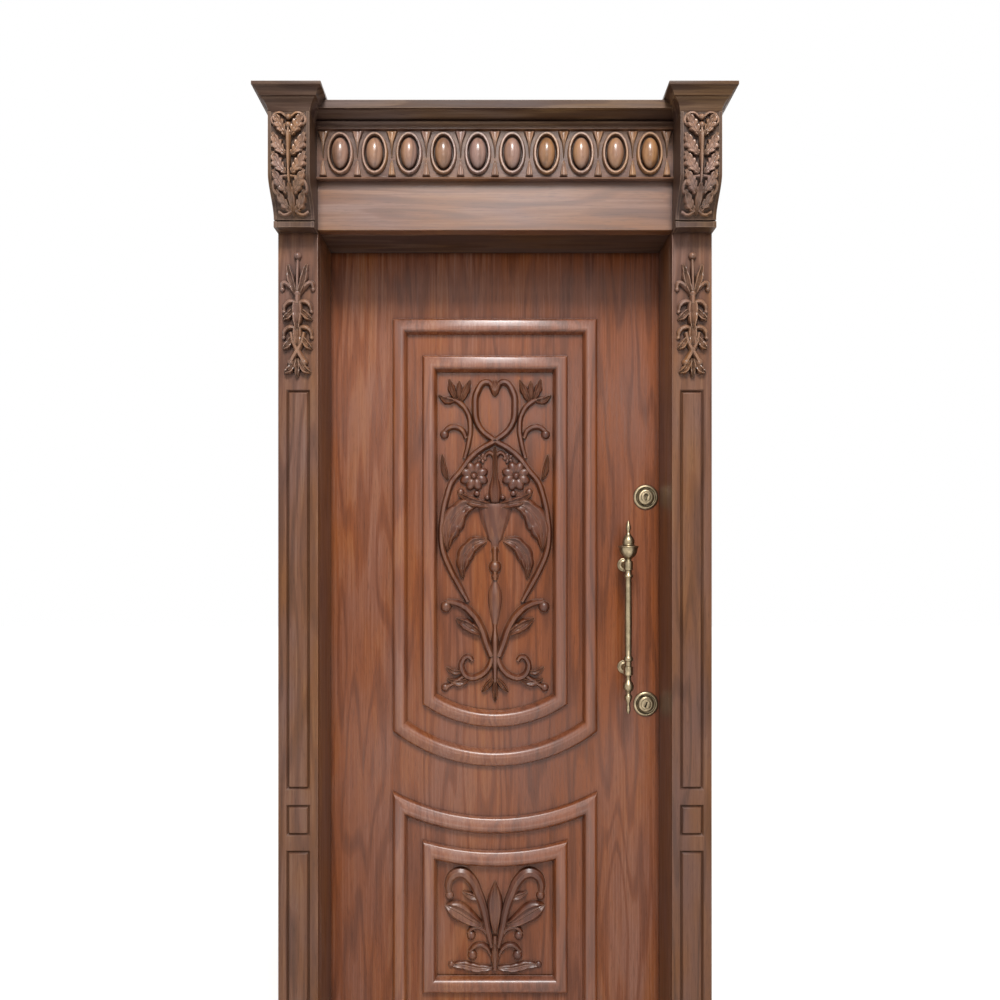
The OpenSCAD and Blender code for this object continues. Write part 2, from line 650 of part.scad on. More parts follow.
// Leaf
module lock_mortise(z) {
    box([leaf_hw - case_depth - case_clear, lock_y - case_t / 2 - case_clear, z - case_h / 2 - case_clear],
        [leaf_hw + 1, lock_y + case_t / 2 + case_clear, z + case_h / 2 + case_clear]);
    box([leaf_hw - face_t, lock_y - face_w / 2, z - face_h / 2], [leaf_hw + 1, lock_y + face_w / 2, z + face_h / 2]);
}
// Holes through the leaf for the locks and the pull handles
module leaf_bores() {
    for (z = [upper_lock_z, lower_lock_z]) {
        inward(lock_x, leaf_front - 1, z) cylinder(r = cylinder_r + cylinder_clear, h = lock_y - leaf_front);
        inward(lock_x, lock_y, z) cylinder(r = tail_hole_r, h = leaf_t);
    }
    for (z = post_zs) inward(pull_x, leaf_front - 1, z) cylinder(r = pull_bolt_r + pull_bolt_gap, h = leaf_t + 2);
}
module hinge_recesses() for (z = hinge_zs)
    box([-leaf_hw - 1, leaf_back - plate_w, z - hinge_h / 2], [-leaf_hw + plate_t, leaf_back + 1, z + hinge_h / 2]);
module leaf_core() color(leaf_wood) difference() {
    box([-leaf_hw, core_front, leaf_bottom], [leaf_hw, core_back, leaf_top]);
    for (z = [upper_lock_z, lower_lock_z]) lock_mortise(z);
    leaf_bores();
    hinge_recesses();
    box([-leaf_hw + sweep_inset, lock_y - sweep_w / 2, leaf_bottom - 1],
        [leaf_hw - sweep_inset, lock_y + sweep_w / 2, leaf_bottom + sweep_depth]);
}
module leaf_outline() translate([-leaf_hw, leaf_bottom]) square([2 * leaf_hw, leaf_top - leaf_bottom]);
module front_panel() color(leaf_wood) difference() {
    facing(0, core_front) linear_extrude(front_t) difference() {
        leaf_outline();
        window(true, 0);
        window(false, 0);
    }
    leaf_bores();
}
module back_panel() color(leaf_wood) difference() {
    facing(0, leaf_back) linear_extrude(back_t) leaf_outline();
    leaf_bores();
    hinge_recesses();
}
module bottom_seal() color(rubber) box([-leaf_hw + sweep_inset, lock_y - sweep_w / 2, threshold_h + sweep_clear],
    [leaf_hw - sweep_inset, lock_y + sweep_w / 2, leaf_bottom + sweep_depth]);

module upper_outer_moulding() color(leaf_wood) moulding(true, [0, 0, 0], outer_width);
module upper_inner_moulding() color(leaf_wood) moulding(true, upper_inner_inset, inner_width);
module lower_outer_moulding() color(leaf_wood) moulding(false, [0, 0, 0], outer_width);
module lower_inner_moulding() color(leaf_wood) moulding(false, lower_inner_inset, inner_width);

module upper_carved_panel() color(leaf_wood) {
    carved_board(true);
    facing(0, ground_y, arc_z) {
        both_sides() {
            for (p = upper_vines) vine(upper_fit(p));
            for (p = upper_leaves) leaf(upper_fit(p));
            for (b = upper_bosses) upper_boss(b.x, b.y, b[2]);
        }
        for (p = upper_centre) vine(upper_fit(p));
        for (b = upper_beads) upper_boss(b.x, b.y, b[2]);
        leaf(upper_fit(upper_flame));
    }
}
module lower_carved_panel() color(leaf_wood) {
    carved_board(false);
    facing(0, ground_y, lower_field_bottom) {
        both_sides() {
            for (p = lower_vines) vine(lower_fit(p));
            for (p = lower_leaves) leaf(lower_fit(p));
            for (b = lower_bosses) lower_boss(b.x, b.y, b[2]);
        }
        vine(lower_fit(lower_centre));
        leaf(lower_fit(lower_spear));
    }
}

// Locks
module escutcheon(z) color(brass) facing(lock_x, leaf_front, z) rotate_extrude() polygon([
    [plug_r + plug_clear, 0], [rose_r, 0], [rose_r, 2], [rose_r - 3, 4.5], [rose_r - 6, 4.5], [rose_r - 7, 2.5],
    [rose_r - 10, 2.5], [rose_r - 11, 6], [rose_r - 14, rose_t - 0.5], [plug_r + plug_clear, rose_t]]);
module upper_escutcheon() escutcheon(upper_lock_z);
module lower_escutcheon() escutcheon(lower_lock_z);
module inner_rose(z) color(brass) inward(lock_x, leaf_back, z) rotate_extrude() polygon([
    [turn_r + tail_clear, 0], [inner_rose_r, 0], [inner_rose_r, 2], [inner_rose_r - 5, inner_rose_t],
    [turn_r + tail_clear, inner_rose_t]]);
module upper_inner_rose() inner_rose(upper_lock_z);
module lower_inner_rose() inner_rose(lower_lock_z);
case_front = lock_y - case_t / 2;
module lock_cylinder(z) color(brass) inward(lock_x, leaf_front, z) difference() {
    cylinder(r = cylinder_r, h = case_front - leaf_front);
    translate([0, 0, -1]) cylinder(r = plug_r + plug_clear, h = leaf_t);
}
module upper_lock_cylinder() lock_cylinder(upper_lock_z);
module lower_lock_cylinder() lock_cylinder(lower_lock_z);
module lock_case(z) difference() {
    union() {
        box([leaf_hw - case_depth, case_front, z - case_h / 2], [leaf_hw - face_t, case_front + case_t, z + case_h / 2]);
        box([leaf_hw - face_t, lock_y - face_w / 2, z - face_h / 2], [leaf_hw, lock_y + face_w / 2, z + face_h / 2]);
    }
    box([carriage_x - 0.5, lock_y - bolt_r - 0.5, z - carriage_h / 2 - 1],
        [leaf_hw - face_t, lock_y + bolt_r + 0.5, z + carriage_h / 2 + 1]);
    bolts_at(z) rightward(leaf_hw - face_t - 1, 0, 0) cylinder(r = bolt_r + bolt_clear, h = face_t + 2);
    inward(lock_x, lock_y - leaf_t / 2, z) cylinder(r = tail_hole_r, h = leaf_t);
}
module upper_lock_case() color(steel) lock_case(upper_lock_z);
module lower_lock_case() color(steel) difference() {
    lock_case(lower_lock_z);
    rightward(leaf_hw - latch_len - 8, lock_y, latch_z) cylinder(r = latch_r + bolt_clear, h = latch_len + 9);
}
// The plug turns in the lock cylinder and drives the thumb turn through a square tail
plug_back = case_front - plug_clear;
tail_end = leaf_back + inner_rose_t + turn_socket;
module key_plug(z) color(brass) {
    difference() {
        inward(lock_x, leaf_front - rose_t - plug_proud, z)
            cylinder(r = plug_r, h = plug_back - leaf_front + rose_t + plug_proud);
        facing(lock_x, leaf_front - rose_t - plug_proud + keyhole_depth, z) linear_extrude(keyhole_depth + 1) children();
    }
    box([lock_x - tail_w / 2, plug_back - 1, z - tail_w / 2], [lock_x + tail_w / 2, tail_end, z + tail_w / 2]);
}
module upper_key_plug() key_plug(upper_lock_z) {
    translate([0, 4]) circle(r = 4.5);
    translate([-2.5, -9]) square([5, 13]);
}
module lower_key_plug() key_plug(lower_lock_z) rotate(-20) translate([-1.6, -7]) square([3.2, 14]);
module thumb_turn(z) color(brass) inward(lock_x, leaf_back, z) difference() {
    union() {
        translate([0, 0, 0.5]) cylinder(r = turn_r, h = inner_rose_t + 3);
        translate([0, 0, inner_rose_t + 0.5]) cylinder(r = turn_r + 4, h = 4);
        translate([-17, -4.5, inner_rose_t + 3]) cube([34, 9, 17]);
    }
    translate([-tail_w / 2 - tail_clear, -tail_w / 2 - tail_clear, -1])
        cube([tail_w + 2 * tail_clear, tail_w + 2 * tail_clear, inner_rose_t + turn_socket + 1]);
}
module upper_thumb_turn() thumb_turn(upper_lock_z);
module lower_thumb_turn() thumb_turn(lower_lock_z);
module deadbolts(z) color(steel) {
    box([carriage_x, lock_y - bolt_r, z - carriage_h / 2], [carriage_x + carriage_t, lock_y + bolt_r, z + carriage_h / 2]);
    bolts_at(z) rightward(carriage_x + carriage_t - 1, 0, 0)
        cylinder(r = bolt_r, h = leaf_hw - bolt_inset - carriage_x - carriage_t + 1);
}
module upper_deadbolts() deadbolts(upper_lock_z);
module lower_deadbolts() deadbolts(lower_lock_z);
module roller_latch() color(steel) rightward(leaf_hw - latch_len, lock_y, latch_z) rotate_extrude() polygon([
    [0, 0], [latch_r, 0], [latch_r, latch_len], [latch_r - 1, latch_len + 1.5], [latch_r - 3, latch_len + latch_reach],
    [0, latch_len + latch_reach]]);

// Pull handles
module turned(x, y, z, outline) translate([x, y, z]) rotate_extrude()
    polygon(concat([[0, outline[0].y]], outline, [[0, outline[len(outline) - 1].y]]));
module bar(y) turned(pull_x, y, pull_z, [[collar_r - 2, -collar_h / 2], [collar_r, -collar_h / 2 + 2],
    [collar_r, collar_h / 2 - 2], [pull_r, collar_h / 2], [pull_r, collar_h], [collar_r, collar_h + 4],
    [collar_r, collar_h + 10], [pull_r, collar_h + 14], [pull_r, pull_span - collar_h / 2],
    [collar_r, pull_span - collar_h / 2 + 2], [collar_r, pull_span + collar_h / 2 - 2],
    [collar_r - 2, pull_span + collar_h / 2]]);
module pull_bar() color(brass) bar(pull_y);
module inner_pull_bar() color(brass) bar(inner_pull_y);
module pull_top_finial() color(brass) turned(pull_x, pull_y, pull_z + pull_span + collar_h / 2, spline([
    [8, 0], [7, 3], [15, 11], [21, 21], [22.5, 32], [24.3, 33.5], [24.3, 36], [16, 39], [15, 47], [11, 57],
    [5, 66], [4.2, 72], [6.3, 80], [5, 88], [2, 97]], 2));
module pull_bottom_finial() color(brass) turned(pull_x, pull_y, pull_z - collar_h / 2, [for (p = spline([
    [2, 93], [5, 86], [5, 76], [3.5, 70], [9, 58], [11, 50], [6, 44], [10, 38], [13, 30], [12, 20], [7, 12], [6, 6],
    [8, 0]], 2)) [p.x, -p.y]]);
// A post ends on the collar of its bar
module post(y, z, bar_y) {
    reach = abs(bar_y - y);
    difference() {
        union() {
            cylinder(r = post_r, h = reach);
            rotate_extrude() polygon([[0, 0], [post_rose_r, 0], [post_rose_r, 2], [post_rose_r - 4, post_rose_t - 1],
                [post_r + 3, post_rose_t], [post_r, post_rose_t + 6], [0, post_rose_t + 6]]);
        }
        translate([0, 0, -1]) cylinder(r = pull_bolt_r + pull_bolt_clear, h = pull_bolt_bite + 1);
        translate([0, 0, reach]) rotate([90, 0, 0]) cylinder(r = collar_r, h = 4 * collar_r, center = true);
    }
}
module outer_post(z) color(brass) facing(pull_x, leaf_front, z) post(leaf_front, z, pull_y);
module inner_post(z) color(brass) inward(pull_x, leaf_back, z) post(leaf_back, z, inner_pull_y);
module pull_upper_post() outer_post(post_zs[1]);
module pull_lower_post() outer_post(post_zs[0]);
module inner_pull_upper_post() inner_post(post_zs[1]);
module inner_pull_lower_post() inner_post(post_zs[0]);
module pull_bolts() color(steel) for (z = post_zs)
    inward(pull_x, leaf_front - pull_bolt_bite, z) cylinder(r = pull_bolt_r, h = leaf_t + 2 * pull_bolt_bite);

left_jamb();
right_jamb();
head_jamb();
threshold();
frame_seal();
left_pilaster();
right_pilaster();
left_drop_carving();
right_drop_carving();
left_console();
right_console();
left_cap();
right_cap();
head_board();
egg_frieze();
cornice();
upper_strike_plate();
lower_strike_plate();
bottom_hinge_frame_leaf();
middle_hinge_frame_leaf();
top_hinge_frame_leaf();
hinge_pins();
bottom_hinge_door_leaf();
middle_hinge_door_leaf();
top_hinge_door_leaf();
leaf_core();
front_panel();
back_panel();
bottom_seal();
upper_outer_moulding();
upper_inner_moulding();
upper_carved_panel();
lower_outer_moulding();
lower_inner_moulding();
lower_carved_panel();
upper_escutcheon();
lower_escutcheon();
upper_inner_rose();
lower_inner_rose();
upper_lock_cylinder();
lower_lock_cylinder();
upper_lock_case();
lower_lock_case();
upper_key_plug();
lower_key_plug();
upper_thumb_turn();
lower_thumb_turn();
upper_deadbolts();
lower_deadbolts();
roller_latch();
pull_bar();
pull_top_finial();
pull_bottom_finial();
pull_upper_post();
pull_lower_post();
inner_pull_bar();
inner_pull_upper_post();
inner_pull_lower_post();
pull_bolts();
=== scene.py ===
"""Carved timber entrance door with its frame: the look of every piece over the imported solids."""
import math

import bmesh
import bpy
from mathutils import Matrix, Vector


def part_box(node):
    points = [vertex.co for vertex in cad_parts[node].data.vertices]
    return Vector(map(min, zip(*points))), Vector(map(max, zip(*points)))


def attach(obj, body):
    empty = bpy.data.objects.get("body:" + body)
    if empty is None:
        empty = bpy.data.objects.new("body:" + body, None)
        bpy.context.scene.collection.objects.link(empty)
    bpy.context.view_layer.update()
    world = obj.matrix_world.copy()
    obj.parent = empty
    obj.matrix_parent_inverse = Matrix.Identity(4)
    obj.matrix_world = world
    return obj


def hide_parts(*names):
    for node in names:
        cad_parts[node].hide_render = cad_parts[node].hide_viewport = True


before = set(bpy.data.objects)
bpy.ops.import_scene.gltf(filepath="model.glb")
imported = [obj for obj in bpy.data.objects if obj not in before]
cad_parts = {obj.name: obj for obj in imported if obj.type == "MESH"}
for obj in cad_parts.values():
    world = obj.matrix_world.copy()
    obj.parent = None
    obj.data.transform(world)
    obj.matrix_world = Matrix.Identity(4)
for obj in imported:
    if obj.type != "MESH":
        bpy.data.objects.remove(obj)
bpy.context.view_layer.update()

bl_info = {
    "name": "Carved entrance door",
    "version": (1, 0, 0),
    "blender": (4, 5, 0),
    "location": "View3D > Sidebar > Door",
    "description": "Builds the carved, moulded and turned pieces of an entrance door on its solid frame",
    "category": "Object",
}

MM = 0.001
X, Y, Z = 0, 1, 2
LOW, HIGH = 0, 1


def face_at(node, axis, end):
    """Where a CAD node's box ends along an axis, in millimetres."""
    return round(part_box(node)[end][axis] / MM, 2)


def middle_of(node, axis):
    """The middle of a CAD node's box along an axis, in millimetres."""
    return (face_at(node, axis, LOW) + face_at(node, axis, HIGH)) / 2


def linear(code):
    """An sRGB hex colour as linear red, green and blue."""
    parts = [int(code[i:i + 2], 16) / 255 for i in (1, 3, 5)]
    return tuple(c / 12.92 if c <= 0.04045 else ((c + 0.055) / 1.055) ** 2.4 for c in parts)


# Settings

def colour(label, note, code):
    """A colour that a user may change."""
    return bpy.props.FloatVectorProperty(
        name=label, description=note, subtype="COLOR", size=3, min=0.0, max=1.0, default=linear(code))


def length(label, note, mm):
    """A length that a user may change."""
    return bpy.props.FloatProperty(
        name=label, description=note, subtype="DISTANCE", unit="LENGTH", min=0.0, default=mm * MM)


class DoorColours(bpy.types.PropertyGroup):
    """Colours of the finishes"""
    leaf_mid: colour("Leaf timber", "Middle tone of the door leaf's varnished timber", "#80482b")
    # The grain's dark tone also darkens the leaf's hollows: stain and painted shade together
    leaf_dark: colour("Leaf grain", "Dark grain and the stain left in the leaf's hollows", "#33170d")
    # The leaf's pale tone also paints its pale edges: rubbed wear and painted highlight
    leaf_light: colour("Leaf highlight", "Rubbed high spots of the leaf's timber", "#b98a6c")
    relief: colour("Carved timber", "Middle tone of the leaf's carved stems and leaves", "#5f321e")
    frame_mid: colour("Frame timber", "Middle tone of the frame's timber", "#724c37")
    # A darker tone for cornice, caps and the consoles' grounds and margins; on the head jamb's soffit it is
    # painted shade
    frame_deep: colour("Cornice timber", "Darker stain of cornice, caps and sunk grounds", "#4e382b")
    frame_relief: colour("Frame carving", "Middle tone of the frame's carved leaves and eggs", "#9c7660")
    frame_drop: colour("Drop timber", "Middle tone of the leaf drops on the pilasters", "#86604b")
    # The frame grain's dark tone also darkens the frame's hollows: stain and painted shade together
    frame_dark: colour("Frame grain", "Dark grain and the stain left in the frame's hollows", "#2e1b14")
    # The frame's pale tone also paints its pale edges: rubbed wear and painted highlight
    frame_light: colour("Frame highlight", "Rubbed high spots of the frame's timber", "#b09279")
    brass: colour("Brass", "Rubbed antique brass of the handles and locks", "#a8977a")
    patina: colour("Brass patina", "Dark patina in the hollows of the brass", "#332a1c")
    steel: colour("Steel", "Satin steel of hinges, bolts and plates", "#a4a29d")
    rubber: colour("Seal", "Black rubber of the seals", "#262423")
    floor: colour("Floor", "Pale studio floor", "#e9e7e3")


class DoorSizes(bpy.types.PropertyGroup):
    """Sizes of the small forms"""
    eased_edge: length("Eased edge", "Rounding of the timber's sharp edges", 1.4)
    metal_edge: length("Metal edge", "Rounding of the metal's sharp edges", 0.5)
    screw: length("Screw head", "Radius of the countersunk screw heads", 4.2)
    # How far the darkening reaches beside a step or hollow: stain and painted shade together
    glaze_and_shade_reach: length("Stain reach", "How far stain gathers beside a step or hollow", 16.0)
    # Width of the pale line along edges: rubbed wear and painted highlight
    worn_and_highlit_edge: length("Worn edge", "Width of the rubbed line along edges", 2.2)


def colours():
    """The colours in use."""
    return bpy.context.scene.door_colours


def sizes():
    """The sizes in use."""
    return bpy.context.scene.door_sizes


# Materials

def plug(tree, node, sockets):
    """Gives each named socket of a node its link or its value."""
    for key, value in sockets.items():
        if isinstance(value, bpy.types.NodeSocket):
            tree.links.new(value, node.inputs[key])
        else:
            node.inputs[key].default_value = value


def add(tree, kind, sockets=None, **settings):
    """Adds a node with its settings, links and values."""
    made = tree.nodes.new(kind)
    for key, value in settings.items():
        setattr(made, key, value)
    plug(tree, made, sockets or {})
    return made


def start(name):
    """A new material with its surface shader and the Object coordinates."""
    made = bpy.data.materials.new(name)
    made.use_nodes = True
    tree = made.node_tree
    tree.nodes.clear()
    shader = add(tree, "ShaderNodeBsdfPrincipled")
    add(tree, "ShaderNodeOutputMaterial", {"Surface": shader.outputs["BSDF"]})
    return made, tree, shader, add(tree, "ShaderNodeTexCoord").outputs["Object"]


def rgba(value, share=1.0):
    """A colour for a socket, made darker or paler by a share."""
    return (share * value[0], share * value[1], share * value[2], 1.0)


def between(first, second, share):
    """A colour for a socket, a share of the way from one to another."""
    return rgba([(1 - share) * a + share * b for a, b in zip(first, second)])


UPRIGHT = (0.0, 0.0, 0.0)
LEVEL = (0.0, math.radians(90), 0.0)
# Noise keeps mostly between these two values
NOISE_LOW, NOISE_HIGH = 0.3, 0.7
# Ring lines in the timber's slow field, in radians
RING_TURNS = 62.0
WARMER, COOLER = (1.08, 0.97, 0.66, 1.0), (0.95, 1.03, 1.30, 1.0)


def timber(name, mid, dark, light, grain, glaze_and_shade, rough, coat, coat_rough=0.28, coat_ior=1.5):
    """Stained and varnished hardwood, carved or planed.

    Long streaks run with the grain, growth rings draw tall arches, open pores break the shine,
    hollows are darkened by stain and by painted shade, and edges are made pale by rubbing and by a
    painted highlight. grain turns the pattern, glaze_and_shade is the share of stain and painted shade
    in the hollows, and coat is the varnish or wax.
    """
    made, tree, shader, where = start(name)
    along = add(tree, "ShaderNodeMapping", {"Vector": where, "Rotation": grain}).outputs[0]

    def layer(across_mm, along_mm, detail, offset):
        """A pattern drawn out along the grain; its offset keeps it apart from the others."""
        vector = add(tree, "ShaderNodeMapping", {
            "Vector": along, "Location": (offset, offset * 0.7, offset * 0.3),
            "Scale": (1 / (across_mm * MM), 1 / (across_mm * MM), 1 / (along_mm * MM))}).outputs[0]
        return add(tree, "ShaderNodeTexNoise", {
            "Vector": vector, "Scale": 1.0, "Detail": detail, "Roughness": 0.55}).outputs[0]

    # Growth rings: contour lines of a slow field, 110 mm wide and 1.1 m long
    slope = add(tree, "ShaderNodeMath", {
        0: layer(110, 1100, 2.0, 3.1), 1: RING_TURNS}, operation="MULTIPLY").outputs[0]
    ring = add(tree, "ShaderNodeMath", {0: slope}, operation="SINE").outputs[0]
    rings = add(tree, "ShaderNodeMapRange", {0: ring, 1: -1.0, 2: -0.1, 3: -0.26, 4: 0.04}).outputs[0]
    # Streaks 5 mm wide and 220 mm long; board tone 170 mm wide
    streak = layer(5, 220, 4.0, 1.7)
    streaks = add(tree, "ShaderNodeMapRange", {
        0: streak, 1: NOISE_LOW, 2: NOISE_HIGH, 3: -0.13, 4: 0.13}).outputs[0]
    tones = add(tree, "ShaderNodeMapRange", {
        0: layer(170, 1500, 1.0, 7.9), 1: NOISE_LOW, 2: NOISE_HIGH, 3: 0.36, 4: 0.64}).outputs[0]
    lines = add(tree, "ShaderNodeMath", {0: rings, 1: streaks}, operation="ADD").outputs[0]
    figure = add(tree, "ShaderNodeMath", {0: lines, 1: tones}, operation="ADD").outputs[0]
    ramp = add(tree, "ShaderNodeValToRGB", {"Fac": figure})
    stops = ramp.color_ramp.elements
    stops[0].position = 0.12
    stops[0].color = between(mid, dark, 0.45)
    stops[1].position = 0.92
    stops[1].color = between(mid, light, 0.38)
    stops.new(0.5).color = rgba(mid)
    # Patches of warmer and of cooler brown, 70 mm wide and 320 mm long
    patch = add(tree, "ShaderNodeMapRange", {
        0: layer(70, 320, 2.0, 11.3), 1: 0.36, 2: 0.64, 3: 0.0, 4: 1.0}).outputs[0]
    tint = add(tree, "ShaderNodeMix", {0: patch, 6: WARMER, 7: COOLER}, data_type="RGBA").outputs[2]
    tinted = add(tree, "ShaderNodeMix", {
        0: 1.0, 6: ramp.outputs[0], 7: tint}, data_type="RGBA", blend_type="MULTIPLY").outputs[2]
    # Pores are about 0.3 by 8 mm, drawn 1.4 by 30 mm so that they show
    pores = add(tree, "ShaderNodeMapRange", {
        0: layer(1.4, 30, 1.0, 5.3), 1: 0.60, 2: 0.70, 3: 0.0, 4: 0.35}).outputs[0]
    grained = add(tree, "ShaderNodeMix", {0: pores, 6: tinted, 7: rgba(dark)}, data_type="RGBA").outputs[2]
    # Darker in steps and hollows: partly stain that gathers there, partly painted shade
    hollow = add(tree, "ShaderNodeAmbientOcclusion", {
        "Distance": sizes().glaze_and_shade_reach}, samples=6).outputs["AO"]
    stain_and_shade = add(tree, "ShaderNodeMapRange", {0: hollow, 1: 0.30, 2: 0.92, 3: glaze_and_shade, 4: 0.0}).outputs[0]
    stained_and_shaded = add(tree, "ShaderNodeMix", {0: stain_and_shade, 6: grained, 7: rgba(dark)}, data_type="RGBA").outputs[2]
    # Paler edges, where a rounded normal parts from the true one: partly rubbed wear, partly a painted
    # highlight
    soft = add(tree, "ShaderNodeBevel", {"Radius": sizes().worn_and_highlit_edge}, samples=4).outputs[0]
    true = add(tree, "ShaderNodeNewGeometry").outputs["Normal"]
    match = add(tree, "ShaderNodeVectorMath", {0: soft, 1: true}, operation="DOT_PRODUCT").outputs["Value"]
    edge = add(tree, "ShaderNodeMapRange", {0: match, 1: 0.82, 2: 0.99, 3: 0.55, 4: 0.0}).outputs[0]
    rubbed_and_highlit = add(tree, "ShaderNodeMath", {0: edge, 1: hollow}, operation="MULTIPLY").outputs[0]
    worn_and_highlit = add(tree, "ShaderNodeMix", {0: rubbed_and_highlit, 6: stained_and_shaded, 7: rgba(light)}, data_type="RGBA").outputs[2]
    gloss = add(tree, "ShaderNodeMapRange", {
        0: streak, 1: NOISE_LOW, 2: NOISE_HIGH, 3: rough - 0.06, 4: rough + 0.10}).outputs[0]
    relief = add(tree, "ShaderNodeMath", {0: streak, 1: pores}, operation="SUBTRACT").outputs[0]
    bump = add(tree, "ShaderNodeBump", {
        "Height": relief, "Strength": 0.35, "Distance": 0.4 * MM}).outputs[0]
    plug(tree, shader, {
        "Base Color": worn_and_highlit, "Roughness": gloss, "Normal": bump, "IOR": 1.5, "Specular IOR Level": 0.24,
        "Coat Weight": coat, "Coat Roughness": coat_rough, "Coat IOR": coat_ior})
    return made


def antique_brass():
    """Cast brass, darkened and rubbed back: bright on the high spots, olive black in the grooves."""
    made, tree, shader, where = start("cast_brass_antiqued")
    # Blotches of the darkening bath, about 14 mm across, and a cast skin of 1.2 mm
    blotch = add(tree, "ShaderNodeTexNoise", {
        "Vector": where, "Scale": 1 / (14 * MM), "Detail": 4.0}).outputs[0]
    skin = add(tree, "ShaderNodeTexNoise", {
        "Vector": where, "Scale": 1 / (1.2 * MM), "Detail": 2.0}).outputs[0]
    hollow = add(tree, "ShaderNodeAmbientOcclusion", {"Distance": 7 * MM}, samples=6).outputs["AO"]
    deep = add(tree, "ShaderNodeMapRange", {0: hollow, 1: 0.25, 2: 0.95, 3: 1.0, 4: 0.12}).outputs[0]
    mottle = add(tree, "ShaderNodeMapRange", {
        0: blotch, 1: 0.35, 2: NOISE_HIGH, 3: -0.12, 4: 0.30}).outputs[0]
    dark = add(tree, "ShaderNodeMath", {0: deep, 1: mottle}, operation="ADD", use_clamp=True).outputs[0]
    shade = add(tree, "ShaderNodeMix", {
        0: dark, 6: rgba(colours().brass), 7: rgba(colours().patina)}, data_type="RGBA").outputs[2]
    rough = add(tree, "ShaderNodeMapRange", {0: dark, 1: 0.0, 2: 1.0, 3: 0.30, 4: 0.58}).outputs[0]
    bump = add(tree, "ShaderNodeBump", {"Height": skin, "Strength": 0.15, "Distance": 0.15 * MM}).outputs[0]
    plug(tree, shader, {"Base Color": shade, "Roughness": rough, "Normal": bump, "Metallic": 1.0})
    return made


def satin_steel():
    """Rolled and brushed steel: fine lines along the plate, a soft grey sheen."""
    made, tree, shader, where = start("brushed_steel_satin")
    # Brush lines 0.2 mm apart, drawn 0.7 mm by 25 mm so that they show
    lines = add(tree, "ShaderNodeMapping", {
        "Vector": where, "Scale": (1 / (0.7 * MM), 1 / (0.7 * MM), 1 / (25 * MM))}).outputs[0]
    brush = add(tree, "ShaderNodeTexNoise", {"Vector": lines, "Scale": 1.0, "Detail": 2.0}).outputs[0]
    shade = add(tree, "ShaderNodeMix", {
        0: brush, 6: rgba(colours().steel, 0.78), 7: rgba(colours().steel)}, data_type="RGBA").outputs[2]
    rough = add(tree, "ShaderNodeMapRange", {
        0: brush, 1: NOISE_LOW, 2: NOISE_HIGH, 3: 0.30, 4: 0.45}).outputs[0]
    bump = add(tree, "ShaderNodeBump", {"Height": brush, "Strength": 0.1, "Distance": 0.05 * MM}).outputs[0]
    plug(tree, shader, {"Base Color": shade, "Roughness": rough, "Normal": bump, "Metallic": 1.0})
    return made


def seal_rubber():
    """Extruded rubber: near black, dull, dusted a little paler in places."""
    made, tree, shader, where = start("extruded_rubber_black")
    # Dust in patches of 20 mm, a skin of 0.8 mm
    dust = add(tree, "ShaderNodeTexNoise", {
        "Vector": where, "Scale": 1 / (20 * MM), "Detail": 3.0}).outputs[0]
    skin = add(tree, "ShaderNodeTexNoise", {"Vector": where, "Scale": 1 / (0.8 * MM)}).outputs[0]
    shade = add(tree, "ShaderNodeMix", {
        0: dust, 6: rgba(colours().rubber), 7: rgba(colours().rubber, 2.2)}, data_type="RGBA").outputs[2]
    rough = add(tree, "ShaderNodeMapRange", {
        0: dust, 1: NOISE_LOW, 2: NOISE_HIGH, 3: 0.62, 4: 0.8}).outputs[0]
    bump = add(tree, "ShaderNodeBump", {"Height": skin, "Strength": 0.1, "Distance": 0.1 * MM}).outputs[0]
    plug(tree, shader, {"Base Color": shade, "Roughness": rough, "Normal": bump})
    return made


def timber_finishes():
    """What timber() is given for each finish: a name, its three tones and the rest."""
    c = colours()
    leaf = (c.leaf_mid, c.leaf_dark, c.leaf_light)
    carved = (c.relief, c.leaf_dark, c.leaf_light)
    casing = (c.frame_mid, c.frame_dark, c.frame_light)
    deep = (c.frame_deep, c.frame_dark, c.frame_light)
    relief = (c.frame_relief, c.frame_dark, c.frame_light)
    drop = (c.frame_drop, c.frame_dark, c.frame_light)
    return {
        "leaf": ("varnished_walnut_planed", leaf, dict(
            grain=UPRIGHT, glaze_and_shade=0.80, rough=0.23, coat=0.10)),
        "leaf_moulded": ("varnished_walnut_moulded", leaf, dict(
            grain=UPRIGHT, glaze_and_shade=0.92, rough=0.25, coat=0.85, coat_rough=0.34, coat_ior=1.58)),
        "leaf_relief": ("varnished_walnut_carved", carved, dict(
            grain=UPRIGHT, glaze_and_shade=0.96, rough=0.32, coat=0.60, coat_rough=0.37)),
        "frame_upright": ("waxed_walnut_upright", casing, dict(
            grain=UPRIGHT, glaze_and_shade=0.75, rough=0.36, coat=0.10)),
        "frame_level": ("waxed_walnut_level", casing, dict(
            grain=LEVEL, glaze_and_shade=0.80, rough=0.32, coat=0.25)),
        "frame_glossy": ("lacquered_walnut_level", casing, dict(
            grain=LEVEL, glaze_and_shade=0.80, rough=0.36, coat=0.75, coat_rough=0.30, coat_ior=1.55)),
        # A darker tone; on the head jamb's soffit it is painted shade
        "frame_dark": ("waxed_walnut_darker", deep, dict(
            grain=LEVEL, glaze_and_shade=0.85, rough=0.52, coat=0.0)),
        "frame_ground": ("waxed_walnut_sunk", deep, dict(
            grain=UPRIGHT, glaze_and_shade=0.90, rough=0.46, coat=0.0)),
        "frame_relief": ("waxed_walnut_carved", relief, dict(
            grain=UPRIGHT, glaze_and_shade=0.96, rough=0.32, coat=0.70, coat_rough=0.20)),
        "frame_drop": ("waxed_walnut_drop", drop, dict(
            grain=UPRIGHT, glaze_and_shade=0.96, rough=0.32, coat=0.50, coat_rough=0.25)),
    }


